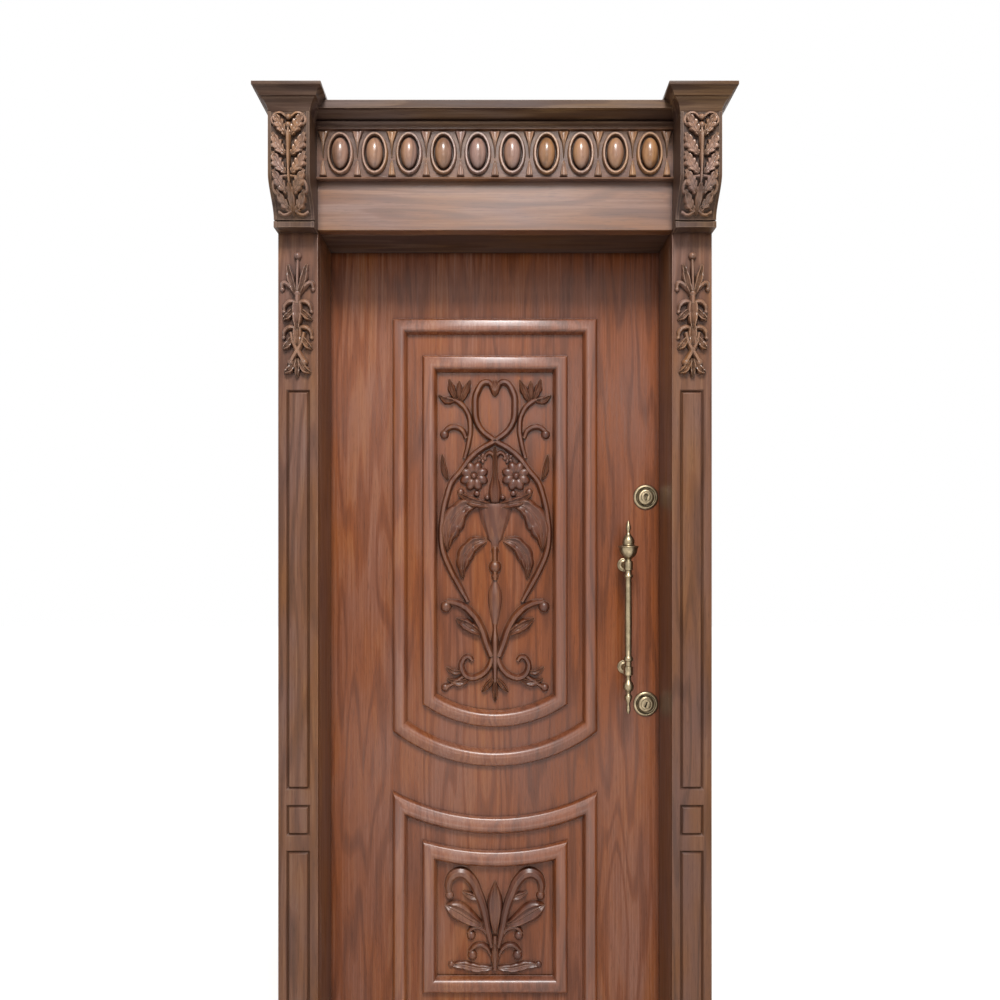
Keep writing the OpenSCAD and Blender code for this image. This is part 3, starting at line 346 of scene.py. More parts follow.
OTHER_FINISHES = {"brass": antique_brass, "steel": satin_steel, "rubber": seal_rubber}
FINISHES = {}


def finish(name):
    """The material of that name, made when it is first asked for."""
    if name not in FINISHES:
        if name in OTHER_FINISHES:
            FINISHES[name] = OTHER_FINISHES[name]()
        else:
            full_name, tones, look = timber_finishes()[name]
            FINISHES[name] = timber(full_name, *tones, **look)
    return FINISHES[name]


# Making pieces

# Edges bent more than this stay sharp: timber, turned brass and the stepped roses
SHARP, BRASS_SHARP, ROSE_SHARP = math.radians(34), math.radians(50), math.radians(60)
# A face broader than this is shaded flat
BROAD = 12 * MM
# Points nearer than these are one: in CAD meshes, in closed runs and in turned forms
CAD_MERGE, RUN_MERGE, TURN_MERGE = 0.02 * MM, 0.01 * MM, 0.005 * MM
# Faces that meet at less than this are one
FLAT = math.radians(1.0)


def piece(name, bm, body, materials, stands_for, sharp=SHARP, flat_over=math.inf):
    """Turns a bmesh in metres into a finished piece that rides on a body and stands for CAD nodes.

    Faces broader than flat_over are shaded flat, so that a board's face stays even beside its
    rounded edges.
    """
    bmesh.ops.recalc_face_normals(bm, faces=bm.faces[:])
    for face in bm.faces:
        # A long face is about as broad as twice its area over its perimeter
        face.smooth = 2 * face.calc_area() < flat_over * face.calc_perimeter()
    for edge in bm.edges:
        edge.smooth = len(edge.link_faces) == 2 and edge.calc_face_angle(0.0) < sharp
    mesh = bpy.data.meshes.new(name)
    bm.to_mesh(mesh)
    bm.free()
    for material in materials:
        mesh.materials.append(finish(material))
    made = bpy.data.objects.new(name, mesh)
    bpy.context.scene.collection.objects.link(made)
    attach(made, body)
    if stands_for:
        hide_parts(*stands_for)
    return made


def eased(node, body, material, round_by):
    """A merged copy of a CAD node with its sharp edges rounded over."""
    bm = bmesh.new()
    bm.from_mesh(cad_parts[node].data)
    bmesh.ops.remove_doubles(bm, verts=bm.verts[:], dist=CAD_MERGE)
    bmesh.ops.dissolve_limit(bm, angle_limit=FLAT, verts=bm.verts[:], edges=bm.edges[:])
    sharp = [e for e in bm.edges if len(e.link_faces) == 2 and e.calc_face_angle(0.0) > SHARP]
    bmesh.ops.bevel(bm, geom=sharp, offset=round_by, offset_type="OFFSET", affect="EDGES", segments=2,
                    profile=0.5, material=-1, clamp_overlap=True)
    return piece(node + "_eased", bm, body, [material], [node], flat_over=BROAD)


def paint(nodes, material):
    """Gives CAD nodes that stay as they are their finish."""
    for node in nodes:
        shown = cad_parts[node]
        for held in shown.material_slots:
            held.material = finish(material)
        if not shown.material_slots:
            raise RuntimeError("no material slot on " + node)


def lofted(bm, loops, caps=False, closed=False):
    """Extrudes a ring of points through the given rings.

    caps close the two ends, and closed joins the last ring to the first.
    """
    count = len(loops[0])
    ring = [bm.verts.new(p) for p in loops[0]]
    edges = [bm.edges.new((ring[i], ring[(i + 1) % count])) for i in range(count)]
    if caps:
        bm.faces.new(ring)
    rings = loops[1:] + ([loops[0]] if closed else [])
    for points in rings:
        order = {v: i for i, v in enumerate(ring)}
        geom = bmesh.ops.extrude_edge_only(bm, edges=edges)["geom"]
        fresh = [g for g in geom if isinstance(g, bmesh.types.BMVert)]
        edges = [g for g in geom if isinstance(g, bmesh.types.BMEdge)]
        ring = [None] * count
        for v in fresh:
            for e in v.link_edges:
                old = e.other_vert(v)
                if old in order:
                    ring[order[old]] = v
        for v, p in zip(ring, points):
            v.co = p
    if caps:
        bm.faces.new(ring)
    if closed:
        bmesh.ops.remove_doubles(bm, verts=bm.verts[:], dist=RUN_MERGE)


def run_along(bm, section, start_x, end_x):
    """A section of (y, z) points run along X."""
    face = bm.faces.new([bm.verts.new((start_x, y, z)) for y, z in section])
    moved = bmesh.ops.extrude_face_region(bm, geom=[face])["geom"]
    bmesh.ops.translate(bm, verts=[g for g in moved if isinstance(g, bmesh.types.BMVert)],
                        vec=(end_x - start_x, 0, 0))


def joined(bm, part):
    """Adds a form made on its own to a bmesh."""
    held = bpy.data.meshes.new("part")
    part.to_mesh(held)
    part.free()
    bm.from_mesh(held)
    bpy.data.meshes.remove(held)


def second_finish(bm, done):
    """Gives the faces made after the first ones the piece's second material."""
    bm.faces.ensure_lookup_table()
    for face in bm.faces[done:]:
        face.material_index = 1


def turned(bm, outline, origin, axis, steps=40):
    """Spins an outline of (radius, height) about an axis through origin."""
    axis = Vector(axis).normalized()
    side = axis.orthogonal().normalized()
    points = [bm.verts.new(Vector(origin) + side * r + axis * h) for r, h in outline]
    edges = [bm.edges.new(pair) for pair in zip(points, points[1:])]
    bmesh.ops.spin(bm, geom=points + edges, cent=origin, axis=axis, angle=math.tau, steps=steps,
                   use_merge=True)
    bmesh.ops.remove_doubles(bm, verts=bm.verts[:], dist=TURN_MERGE)


# Carving

def on_path(path, s):
    """Point of the smooth curve through a path, s from 0 to 1: across, up, half width."""
    last = len(path) - 1
    u = min(max(s, 0.0), 1.0) * last
    i = min(int(u), last - 1)
    t = u - i
    a, b, c, d = (Vector(path[min(max(k, 0), last)]) for k in (i - 1, i, i + 1, i + 2))
    curve = 2 * b + (c - a) * t + (2 * a - 5 * b + 4 * c - d) * t * t + (3 * b - a - 3 * c + d) * t ** 3
    return 0.5 * curve


def strands(bm, paths, lift, cyclic=False):
    """Round stems through paths of (across, up, half width), drawn as bevelled curves."""
    curve = bpy.data.curves.new("stems", "CURVE")
    curve.dimensions = "3D"
    curve.bevel_depth = 1.0
    curve.bevel_resolution = 3
    curve.resolution_u = 7
    curve.use_fill_caps = not cyclic
    for path in paths:
        spline = curve.splines.new("BEZIER")
        spline.use_cyclic_u = cyclic
        spline.radius_interpolation = "EASE"
        spline.bezier_points.add(len(path) - 1)
        for point, (x, up, half) in zip(spline.bezier_points, path):
            point.co = (x, up, 0.0)
            point.radius = half
            point.handle_left_type = point.handle_right_type = "AUTO"
    holder = bpy.data.objects.new("stems", curve)
    bpy.context.scene.collection.objects.link(holder)
    mesh = bpy.data.meshes.new_from_object(holder.evaluated_get(bpy.context.evaluated_depsgraph_get()))
    bpy.data.objects.remove(holder)
    bpy.data.curves.remove(curve)
    for v in mesh.vertices:
        v.co.z *= lift
    bm.from_mesh(mesh)
    bpy.data.meshes.remove(mesh)


# Cut of a carved leaf. A half swells from the rib to its crest and falls to the rim
RIB, CREST, CREST_CURVE, RIM_FALL = 0.62, 0.55, 1.6, 0.75
VEIN_RISE, VEIN_WIDE = 0.16, 0.09
LOBE_LEAN, LOBE_ROUND, NOTCH_FROM = 0.06, 0.6, 0.3
# Rise at the stalk and at the tip, and how fast it grows from there
STALK_RISE, STALK_RAMP, TIP_RISE, TIP_RAMP = 0.45, 4.0, 0.35, 3.2
# In millimetres: least half width, and how deep the edge goes into the ground
LEAST_HALF, EDGE_DEEP = 0.8, 2.0
# Share of the path over which a leaf's direction is taken
PATH_STEP = 0.02


def blade(bm, path, lobes, rise, rows=30, cols=14, notch=0.2, sweep=0.35):
    """A carved leaf along a path: a sunk midrib, swelling halves, lobes cut back by notches."""
    grid = bmesh.ops.create_grid(bm, x_segments=cols, y_segments=rows, size=0.5)["verts"]
    skin = dict.fromkeys(f for v in grid for f in v.link_faces)
    for v in grid:
        s, t = v.co.y + 0.5, 2 * v.co.x
        spot = on_path(path, s)
        step = on_path(path, s + PATH_STEP) - on_path(path, s - PATH_STEP)
        way = Vector((step.x, step.y)).normalized()
        far = abs(t)
        lobe = abs(math.sin(math.pi * lobes * min(max(s - LOBE_LEAN * far, 0.0), 1.0))) ** LOBE_ROUND
        half = max(spot.z, LEAST_HALF) * (1 - notch * (1 - lobe) * far)
        lean = sweep * half * far * far * math.sin(math.pi * s)
        if far < CREST:
            swell = RIB + (1 - RIB) * (far / CREST) ** CREST_CURVE
        else:
            swell = 1 - RIM_FALL * ((far - CREST) / (1 - CREST)) ** 2
        vein = VEIN_RISE * math.exp(-(t / VEIN_WIDE) ** 2)
        cut = notch * (1 - lobe) ** 2 * min(far / NOTCH_FROM, 1.0)
        ends = min(1.0, STALK_RISE + STALK_RAMP * s, TIP_RISE + TIP_RAMP * (1 - s))
        v.co = (spot.x - way.y * t * half + way.x * lean, spot.y + way.x * t * half + way.y * lean,
                rise * ends * (swell + vein - cut))
    rim = [e for f in skin for e in f.edges if len(e.link_faces) == 1]
    geom = bmesh.ops.extrude_edge_only(bm, edges=rim)["geom"]
    for g in geom:
        if isinstance(g, bmesh.types.BMVert):
            g.co.z = -EDGE_DEEP
    bmesh.ops.contextual_create(bm, geom=[g for g in geom if isinstance(g, bmesh.types.BMEdge)
                                          and len(g.link_faces) == 1])


def leaves(bm, drawn, **cut):
    """Carved leaves from rows of (path, number of lobes, rise)."""
    for path, lobes, rise in drawn:
        blade(bm, path, lobes, rise, **cut)


def bead(bm, x, up, r, lift):
    """A domed berry."""
    bmesh.ops.create_uvsphere(bm, u_segments=18, v_segments=10, radius=r,
                              matrix=Matrix.Translation((x, up, 0)) @ Matrix.Diagonal((1, 1, lift, 1)))


def berries(bm, drawn, lift):
    """Domed berries from rows of (across, up, radius)."""
    for x, up, r in drawn:
        bead(bm, x, up, r, lift)


# A flower's petals: distance of their middles, their half sizes and the button, as shares of its radius
PETAL_OUT, PETAL_HALVES, PETAL_LIFT = 0.58, (0.46, 0.34, 0.30, 1), 2.0
BUTTON, BUTTON_LIFT = 0.28, 1.5


def flower(bm, x, up, r, petals):
    """A rosette: swelling petals round a button."""
    for k in range(petals):
        a = math.tau * (k + 0.5) / petals
        out = PETAL_OUT * r
        place = (Matrix.Translation((x + out * math.cos(a), up + out * math.sin(a), PETAL_LIFT))
                 @ Matrix.Rotation(a, 4, "Z") @ Matrix.Diagonal(PETAL_HALVES))
        bmesh.ops.create_uvsphere(bm, u_segments=14, v_segments=8, radius=r, matrix=place)
    bead(bm, x, up, BUTTON * r, BUTTON_LIFT)


# How far a vase's flutes swell, as a share of its radius
FLUTE_SWELL = 0.045


def vase(bm, outline, squash, flutes):
    """A turned, fluted form on the centre line, half sunk in the ground; outline of (up, radius)."""
    shape = bmesh.new()
    turned(shape, [(0.0, outline[0][0])] + [(r, up) for up, r in outline] + [(0.0, outline[-1][0])],
           (0, 0, 0), (0, 1, 0), steps=48)
    for v in shape.verts:
        a = math.atan2(v.co.z, v.co.x)
        swell = 1 + FLUTE_SWELL * abs(math.sin(flutes * a / 2))
        v.co = (v.co.x * swell, v.co.y, v.co.z * squash * swell)
    joined(bm, shape)


def both_halves(bm):
    """Mirrors the carving about its centre line."""
    bmesh.ops.mirror(bm, geom=bm.verts[:] + bm.edges[:] + bm.faces[:], matrix=Matrix(), merge_dist=-1,
                     axis="X")


def placed(bm, middle_x, foot_z, face_y, stretch=1.0):
    """Moves a carving from its drawing plane in millimetres to a face in metres.

    face_y gives the face's y at a height above the foot.
    """
    for v in bm.verts:
        x, up, h = v.co
        v.co = ((middle_x + x * stretch) * MM, (face_y(up) - h) * MM, (foot_z + up) * MM)


def smooth_outline(points, steps=3):
    """More points on the smooth curve through an outline of pairs."""
    path = [(a, b, 0.0) for a, b in points]
    total = (len(points) - 1) * steps
    return [tuple(on_path(path, i / total)[:2]) for i in range(total + 1)]


# The leaf's panels

LEAF_FRONT = face_at("front_panel", Y, LOW)
LEAF_BACK = face_at("back_panel", Y, HIGH)
CORE_FRONT = face_at("leaf_core", Y, LOW)
# The carved fields lie this far behind the leaf's face
FIELD_SUNK = 3.0
GROUND = LEAF_FRONT + FIELD_SUNK
PANEL_HALF = face_at("upper_outer_moulding", X, HIGH)
UPPER_TOP = face_at("upper_outer_moulding", Z, HIGH)
UPPER_LOW = face_at("upper_outer_moulding", Z, LOW)
LOWER_BOTTOM = face_at("lower_outer_moulding", Z, LOW)
MOULD_RISE = LEAF_FRONT - face_at("upper_outer_moulding", Y, LOW)
# Both panels end in arcs about one centre, with the lock rail between them
ARC_R, LOCK_RAIL, ARC_STEPS = 416.0, 125.0, 32
ARC_Z = UPPER_LOW + ARC_R
# Widths of the mouldings at the sides, at the straight end and at the arc
OUTER_WIDE, INNER_WIDE = (38.0, 41.0, 44.0), (38.0, 42.0, 43.0)
# How far the inner mouldings lie inside the panels' outlines, in the same order
INNER_SIDE = PANEL_HALF - face_at("upper_inner_moulding", X, HIGH)
UPPER_INNER = (INNER_SIDE, UPPER_TOP - face_at("upper_inner_moulding", Z, HIGH),
               face_at("upper_inner_moulding", Z, LOW) - UPPER_LOW)
LOWER_INNER = (INNER_SIDE, face_at("lower_inner_moulding", Z, LOW) - LOWER_BOTTOM, 84.0)


def panel_loop(upper, inset, depth):
    """Outline of a panel drawn in by (side, end, arc), at a depth y."""
    half = PANEL_HALF - inset[0]
    r = ARC_R - inset[2] if upper else ARC_R + LOCK_RAIL + inset[2]
    wide = math.asin(half / r)
    end = UPPER_TOP - inset[1] if upper else LOWER_BOTTOM + inset[1]
    arc = [wide * (2 * i / ARC_STEPS - 1) for i in range(ARC_STEPS + 1)]
    points = [(half, end), (-half, end)] + [(r * math.sin(t), ARC_Z - r * math.cos(t)) for t in arc]
    return [Vector((x, depth, z)) * MM for x, z in points]


def inset_by(base, wide, share):
    """An inset taken further in by a share of a width."""
    return tuple(b + w * share for b, w in zip(base, wide))


# A moulding's section as shares of its width and its height: a broad slope that rolls over inwards
MOULD_ROLL = smooth_outline([
    (0.0, 0.06), (0.03, 0.34), (0.08, 0.58), (0.15, 0.71), (0.30, 0.85), (0.45, 0.95), (0.56, 1.0),
    (0.67, 0.99), (0.77, 0.90), (0.86, 0.68), (0.92, 0.40), (0.97, 0.14), (1.0, 0.04)])
# Its two feet go into the board
MOULD_SECTION = [(0.0, -0.1)] + MOULD_ROLL + [(1.0, -0.2)]


class DOOR_OT_mouldings(bpy.types.Operator):
    """Mitred bolection mouldings round the two panels"""
    bl_idname = "door.mouldings"
    bl_label = "Panel mouldings"

    def execute(self, context):
        for node, upper, base, wide in (
                ("upper_outer_moulding", True, (0, 0, 0), OUTER_WIDE),
                ("upper_inner_moulding", True, UPPER_INNER, INNER_WIDE),
                ("lower_outer_moulding", False, (0, 0, 0), OUTER_WIDE),
                ("lower_inner_moulding", False, LOWER_INNER, INNER_WIDE)):
            bm = bmesh.new()
            lofted(bm, [panel_loop(upper, inset_by(base, wide, a), LEAF_FRONT - h * MOULD_RISE)
                        for a, h in MOULD_SECTION], closed=True)
            piece(node + "_run", bm, "door_leaf", ["leaf_moulded"], [node])
        return {"FINISHED"}


def carved_board(bm, upper):
    """The board behind a carving: its edge lies under the moulding, its field is sunk."""
    base = UPPER_INNER if upper else LOWER_INNER
    # The edge is half a millimetre inside the moulding's middle line
    hidden = inset_by(inset_by(base, INNER_WIDE, 0.5), (1, 1, 1), 0.5)
    shown = inset_by(base, INNER_WIDE, 1.0)
    lofted(bm, [panel_loop(upper, hidden, CORE_FRONT), panel_loop(upper, hidden, LEAF_FRONT),
                panel_loop(upper, shown, LEAF_FRONT), panel_loop(upper, shown, GROUND)], caps=True)


# The carvings are drawn for a field of this half width and stretch with the fields
DRAWN_HALF = 148.0
FIELD_STRETCH = (PANEL_HALF - INNER_SIDE - INNER_WIDE[0]) / DRAWN_HALF


def leaf_carving(name, bm, upper, foot_z, node):
    """Sets a drawn carving on its board in the leaf."""
    placed(bm, 0.0, foot_z, lambda up: GROUND, FIELD_STRETCH)
    done = len(bm.faces)
    carved_board(bm, upper)
    second_finish(bm, done)
    piece(name, bm, "door_leaf", ["leaf_relief", "leaf"], [node])


# Stems of the upper carving, one half, mirrored: points of (across, up, half width)
UPPER_STEMS = [
    [(0, 523, 6.5), (22, 545, 9.1), (46, 520, 9.8), (51, 483, 9.8), (42, 436, 9.1), (0, 398, 9.1),
     (-32, 380, 9.1), (-60, 358, 9.1), (-89, 321, 9.1), (-110, 296, 9.1), (-124, 258, 9.1),
     (-135, 205, 9.1), (-138, 160, 9.1), (-134, 125, 9.1), (-118, 83, 9.1), (-93, 37, 9.1), (-70, -4, 6.5)],
    [(78, 354, 6.5), (68, 392, 7.8), (63, 429, 7.8), (70, 467, 7.8), (90, 492, 8.5), (122, 506, 5.2)],
    [(74, 404, 6.5), (84, 424, 7.8), (105, 433, 8.5), (124, 426, 7.8), (132, 414, 6.5)],
    [(124, -4, 7.8), (93, -10, 9.8), (60, -33, 11.1), (35, -71, 11.1), (22, -108, 11.1), (9, -140, 10.4)],
    [(5, -132, 7.8), (14, -165, 9.1), (40, -190, 9.8), (68, -193, 9.8), (85, -174, 9.1), (82, -150, 7.8),
     (68, -142, 7.2), (58, -152, 6.5)],
    [(80, -190, 6.5), (104, -206, 6.5), (126, -219, 6.5)],
    [(0, 350, 5.2), (12, 368, 6.5), (24, 362, 5.2), (26, 352, 3.9)],
]
# Leaves of the upper carving: path, number of lobes, rise
UPPER_LEAVES = [
    ([(100, 500, 4), (110, 524, 11), (118, 552, 2)], 3, 12),
    ([(88, 494, 4), (76, 520, 11), (63, 551, 2)], 3, 12),
    ([(93, 498, 4), (92, 524, 9), (92, 548, 2)], 2, 9),
    ([(104, 498, 4), (124, 498, 10), (145, 512, 2)], 3, 12),
    ([(122, 300, 4), (131, 328, 9), (136, 364, 2)], 2, 11),
    ([(50, 238, 10), (80, 231, 26), (106, 200, 33), (120, 164, 22), (122, 122, 2)], 4, 16),
    ([(22, 150, 8), (54, 140, 21), (76, 113, 22), (84, 84, 14), (82, 52, 2)], 4, 15),
    ([(6, 234, 8), (36, 240, 13), (66, 248, 14), (95, 268, 3)], 3, 16),
    ([(32, -86, 6), (58, -71, 16), (80, -58, 14), (100, -46, 2)], 3, 16),
    ([(64, -196, 5), (92, -207, 11), (124, -196, 2)], 3, 12),
    ([(84, -178, 4), (104, -180, 9), (126, -168, 2)], 2, 10),
    ([(4, -196, 5), (19, -214, 9), (34, -230, 2)], 2, 12),
]
UPPER_BERRIES = [(130, 414, 12), (126, -17, 15), (128, -219, 11), (47, 266, 9), (88, 270, 10), (20, 256, 8)]
UPPER_FLOWERS = [(54, 310, 37, 8), (54, 310, 22, 5), (34, 354, 14, 5)]
# What stands on the upper carving's centre line
UPPER_VASE = [
    (240, 40), (237, 41.5), (232, 41.5), (226, 41), (214, 39), (198, 34), (182, 28), (165, 22), (152, 19),
    (146, 12), (138, 9), (128, 9), (122, 12),
]
UPPER_SPINDLE = [(54, 5), (46, 7), (34, 12), (20, 17), (8, 18), (-10, 17), (-32, 13), (-58, 8), (-87, 3)]
UPPER_STAFF = [
    [(0, -60, 5), (0, -110, 11), (0, -146, 11), (0, -190, 7), (0, -252, 3)],
    [(0, 130, 8), (0, 100, 8), (0, 50, 7)],
]
UPPER_MIDDLE_LEAVES = [
    ([(0, 236, 14), (0, 268, 17), (0, 308, 9), (0, 356, 7), (0, 384, 2)], 2, 14),
    ([(0, 550, 5), (0, 537, 15), (0, 522, 11), (0, 508, 2)], 2, 12),
    ([(0, -200, 5), (0, -226, 9), (0, -254, 2)], 2, 13),
]
UPPER_MIDDLE_BERRIES = [(0, 125, 10), (0, 83, 17), (0, 60, 10)]


class DOOR_OT_upper_carving(bpy.types.Operator):
    """Vase, leaves and scrolling stems of the upper panel"""
    bl_idname = "door.upper_carving"
    bl_label = "Upper carving"

    def execute(self, context):
        bm = bmesh.new()
        strands(bm, UPPER_STEMS, lift=1.5)
        leaves(bm, UPPER_LEAVES)
        berries(bm, UPPER_BERRIES, lift=0.95)
        for x, up, r, petals in UPPER_FLOWERS:
            flower(bm, x, up, r, petals)
        both_halves(bm)
        vase(bm, UPPER_VASE, squash=0.36, flutes=12)
        vase(bm, UPPER_SPINDLE, squash=0.6, flutes=8)
        strands(bm, UPPER_STAFF, lift=1.4)
        leaves(bm, UPPER_MIDDLE_LEAVES)
        berries(bm, UPPER_MIDDLE_BERRIES, lift=0.9)
        leaf_carving("upper_carving", bm, True, ARC_Z, "upper_carved_panel")
        return {"FINISHED"}


# The lower carving, one half, drawn like the upper one: a thick scroll, thin curls and leaves
LOWER_SCROLL = [
    [(118, 204, 8), (119, 230, 11), (106, 251, 14), (84, 256, 15), (62, 240, 14.5), (44, 206, 13),
     (29, 164, 11.5), (19, 114, 10), (8, 70, 7)],
]
LOWER_CURLS = [
    [(16, 96, 5), (34, 118, 7.5), (56, 120, 7.5), (69, 106, 5.5)],
    [(8, 44, 5), (24, 72, 7.5), (46, 76, 7.5), (66, 60, 5.5)],
]
LOWER_LEAVES = [
    ([(30, 126, 8), (58, 140, 20), (86, 157, 25), (110, 170, 18), (128, 177, 4)], 1, 15),
    ([(6, 20, 6), (46, 18, 12), (84, 26, 11), (118, 26, 2)], 5, 8),
    ([(40, 194, 4), (60, 198, 10), (84, 210, 3)], 1, 10),
]
LOWER_BERRIES = [(117, 200, 12), (61, 100, 12), (58, 51, 13), (112, 27, 9)]
LOWER_STAFF = [[(0, 100, 7), (0, 60, 7), (0, 16, 8)]]
LOWER_MIDDLE_LEAVES = [
    ([(0, 100, 5), (0, 150, 19), (0, 192, 18), (0, 236, 2)], 1, 11),
    ([(0, 88, 4), (0, 52, 13), (0, 12, 3)], 3, 14),
]
# Height of the drawing's foot above the floor
LOWER_FOOT = 314.0


class DOOR_OT_lower_carving(bpy.types.Operator):
    """Scrolls and leaves of the lower panel"""
    bl_idname = "door.lower_carving"
    bl_label = "Lower carving"

    def execute(self, context):
        bm = bmesh.new()
        strands(bm, LOWER_SCROLL, lift=1.05)
        strands(bm, LOWER_CURLS, lift=1.4)
        leaves(bm, LOWER_LEAVES)
        berries(bm, LOWER_BERRIES, lift=0.85)
        both_halves(bm)
        strands(bm, LOWER_STAFF, lift=1.5)
        leaves(bm, LOWER_MIDDLE_LEAVES)
        leaf_carving("lower_carving", bm, False, LOWER_FOOT, "lower_carved_panel")
        return {"FINISHED"}


# Casing and head

CASING_FRONT = face_at("right_pilaster", Y, LOW)
CASING_IN, CASING_OUT = face_at("right_pilaster", X, LOW), face_at("right_pilaster", X, HIGH)
CASING_MID = (CASING_IN + CASING_OUT) / 2
SOFFIT = face_at("head_board", Z, LOW)
CONSOLE_Z = face_at("right_console", Z, LOW)
CAP_Z = face_at("right_cap", Z, LOW)
SIDES = (("left", -1), ("right", 1))

# Leaves, curls and berries of the drops, one half; heights are from the soffit
DROP_LEAVES = [
    ([(4, -150, 5), (14, -118, 10), (22, -80, 3)], 3, 16),
    ([(8, -186, 6), (21, -200, 10), (34, -209, 2)], 3, 14),
    ([(10, -248, 5), (22, -266, 10), (34, -276, 2)], 3, 13),
    ([(4, -298, 6), (16, -322, 10), (31, -331, 2)], 3, 14),
]
DROP_CURLS = [
    [(4, -148, 6), (20, -128, 7.5), (32, -124, 7), (36, -136, 4.5)],
    [(-1, -172, 6), (16, -167, 7.5), (28, -175, 6.5), (31, -188, 4)],
    [(-1, -231, 6), (16, -226, 7.5), (29, -234, 6.5), (32, -248, 4)],
    [(-15, -238, 6), (-9, -262, 7), (5, -288, 8), (14, -304, 8)],
]
DROP_BERRIES = [(15, -307, 10), (35, -138, 6), (31, -190, 5.5), (32, -250, 5.5)]
# What stands on a drop's centre line
DROP_STAFF = [[(0, -66, 4), (0, -110, 6), (0, -172, 8)]]
DROP_MIDDLE_LEAVES = [
    ([(0, -164, 11), (0, -190, 15), (0, -216, 10), (0, -238, 3)], 3, 17),
    ([(0, -222, 10), (0, -246, 13), (0, -272, 5)], 2, 14),
    ([(0, -296, 5), (0, -320, 8), (0, -342, 2)], 2, 14),
]
DROP_MIDDLE_BERRIES = [(0, -61, 9.5), (0, -148, 10)]
# The drops' leaves are small and need fewer rows
DROP_CUT = {"rows": 22, "cols": 12}


class DOOR_OT_drops(bpy.types.Operator):
    """Leaf drops at the head of the pilasters"""
    bl_idname = "door.drops"
    bl_label = "Leaf drops"

    def execute(self, context):
        for side, sign in SIDES:
            bm = bmesh.new()
            strands(bm, DROP_CURLS, lift=1.7)
            leaves(bm, DROP_LEAVES, **DROP_CUT)
            berries(bm, DROP_BERRIES, lift=1.3)
            both_halves(bm)
            strands(bm, DROP_STAFF, lift=1.7)
            leaves(bm, DROP_MIDDLE_LEAVES, **DROP_CUT)
            berries(bm, DROP_MIDDLE_BERRIES, lift=1.4)
            placed(bm, sign * CASING_MID, SOFFIT, lambda up: CASING_FRONT)
            piece(side + "_leaf_drop", bm, "frame", ["frame_drop"], [side + "_drop_carving"])
        return {"FINISHED"}


# How far a console stands out at its foot and at its top, and where its front swells from one to the other
CONSOLE_FOOT, CONSOLE_TOP, CONSOLE_H = 37.0, 90.0, CAP_Z - CONSOLE_Z
SWELL_FROM, SWELL_HIGH, SWELL_STEPS = 18.0, 84.0, 20
# The block under it and the groove above the block
BLOCK_OUT, BLOCK_HIGH, GROOVE_OUT = CONSOLE_FOOT + 5, SWELL_FROM - 4, CONSOLE_FOOT - 7
# Raised margins at its sides, and how far the sunk middle stays inside them
MARGIN_WIDE, MARGIN_PROUD, MIDDLE_SHORT, SIDE_SHORT = 7.0, 3.0, 1.0, 6.0


def console_front(up):
    """Projection of a console's front at a height above its foot."""
    t = min(max((up - SWELL_FROM) / SWELL_HIGH, 0.0), 1.0)
    return CONSOLE_FOOT + (CONSOLE_TOP - CONSOLE_FOOT) * (1 - math.cos(math.pi * t)) / 2


def console_section(proud, short):
    """Side outline of a console as (y, z) in metres, drawn in by short at its ends."""
    shape = [(0, short), (BLOCK_OUT - short, short), (BLOCK_OUT - short, BLOCK_HIGH - short),
             (GROOVE_OUT - short, BLOCK_HIGH - short), (GROOVE_OUT - short, SWELL_FROM)]
    for k in range(SWELL_STEPS + 1):
        up = SWELL_FROM + SWELL_HIGH * k / SWELL_STEPS
        shape.append((console_front(up) + proud, up))
    shape += [(CONSOLE_TOP + proud, CONSOLE_H - short), (0, CONSOLE_H - short)]
    return [((CASING_FRONT - out) * MM, (CONSOLE_Z + up) * MM) for out, up in shape]


# Leaves and curls of a console, one half; heights are from its foot
CONSOLE_LEAVES = [
    ([(4, 182, 5), (18, 206, 15), (32, 234, 3)], 5, 13),
    ([(5, 140, 5), (22, 160, 16), (36, 192, 3)], 5, 12),
    ([(5, 100, 5), (22, 120, 16), (36, 150, 3)], 5, 12),
    ([(5, 64, 5), (20, 82, 14), (35, 110, 3)], 5, 11),
    ([(5, 34, 4), (18, 48, 12), (33, 72, 3)], 4, 10),
]
CONSOLE_CURLS = [
    [(6, 226, 4), (18, 234, 4.5), (33, 228, 4), (36, 214, 4), (27, 208, 3)],
    [(4, 96, 4), (24, 92, 4), (36, 80, 4), (33, 66, 3.5), (26, 70, 3)],
    [(4, 36, 4), (20, 28, 4), (34, 34, 3.5)],
]
# A tapering staff down the middle, from a bud to a leaf tip
CONSOLE_STAFF = [[(0, 200, 5), (0, 180, 7), (0, 140, 6), (0, 96, 4.5), (0, 70, 3)]]
CONSOLE_TIP = [([(0, 84, 4), (0, 58, 10), (0, 26, 2)], 3, 12)]
CONSOLE_BEADS = [(0, 224, 8), (0, 206, 9)]


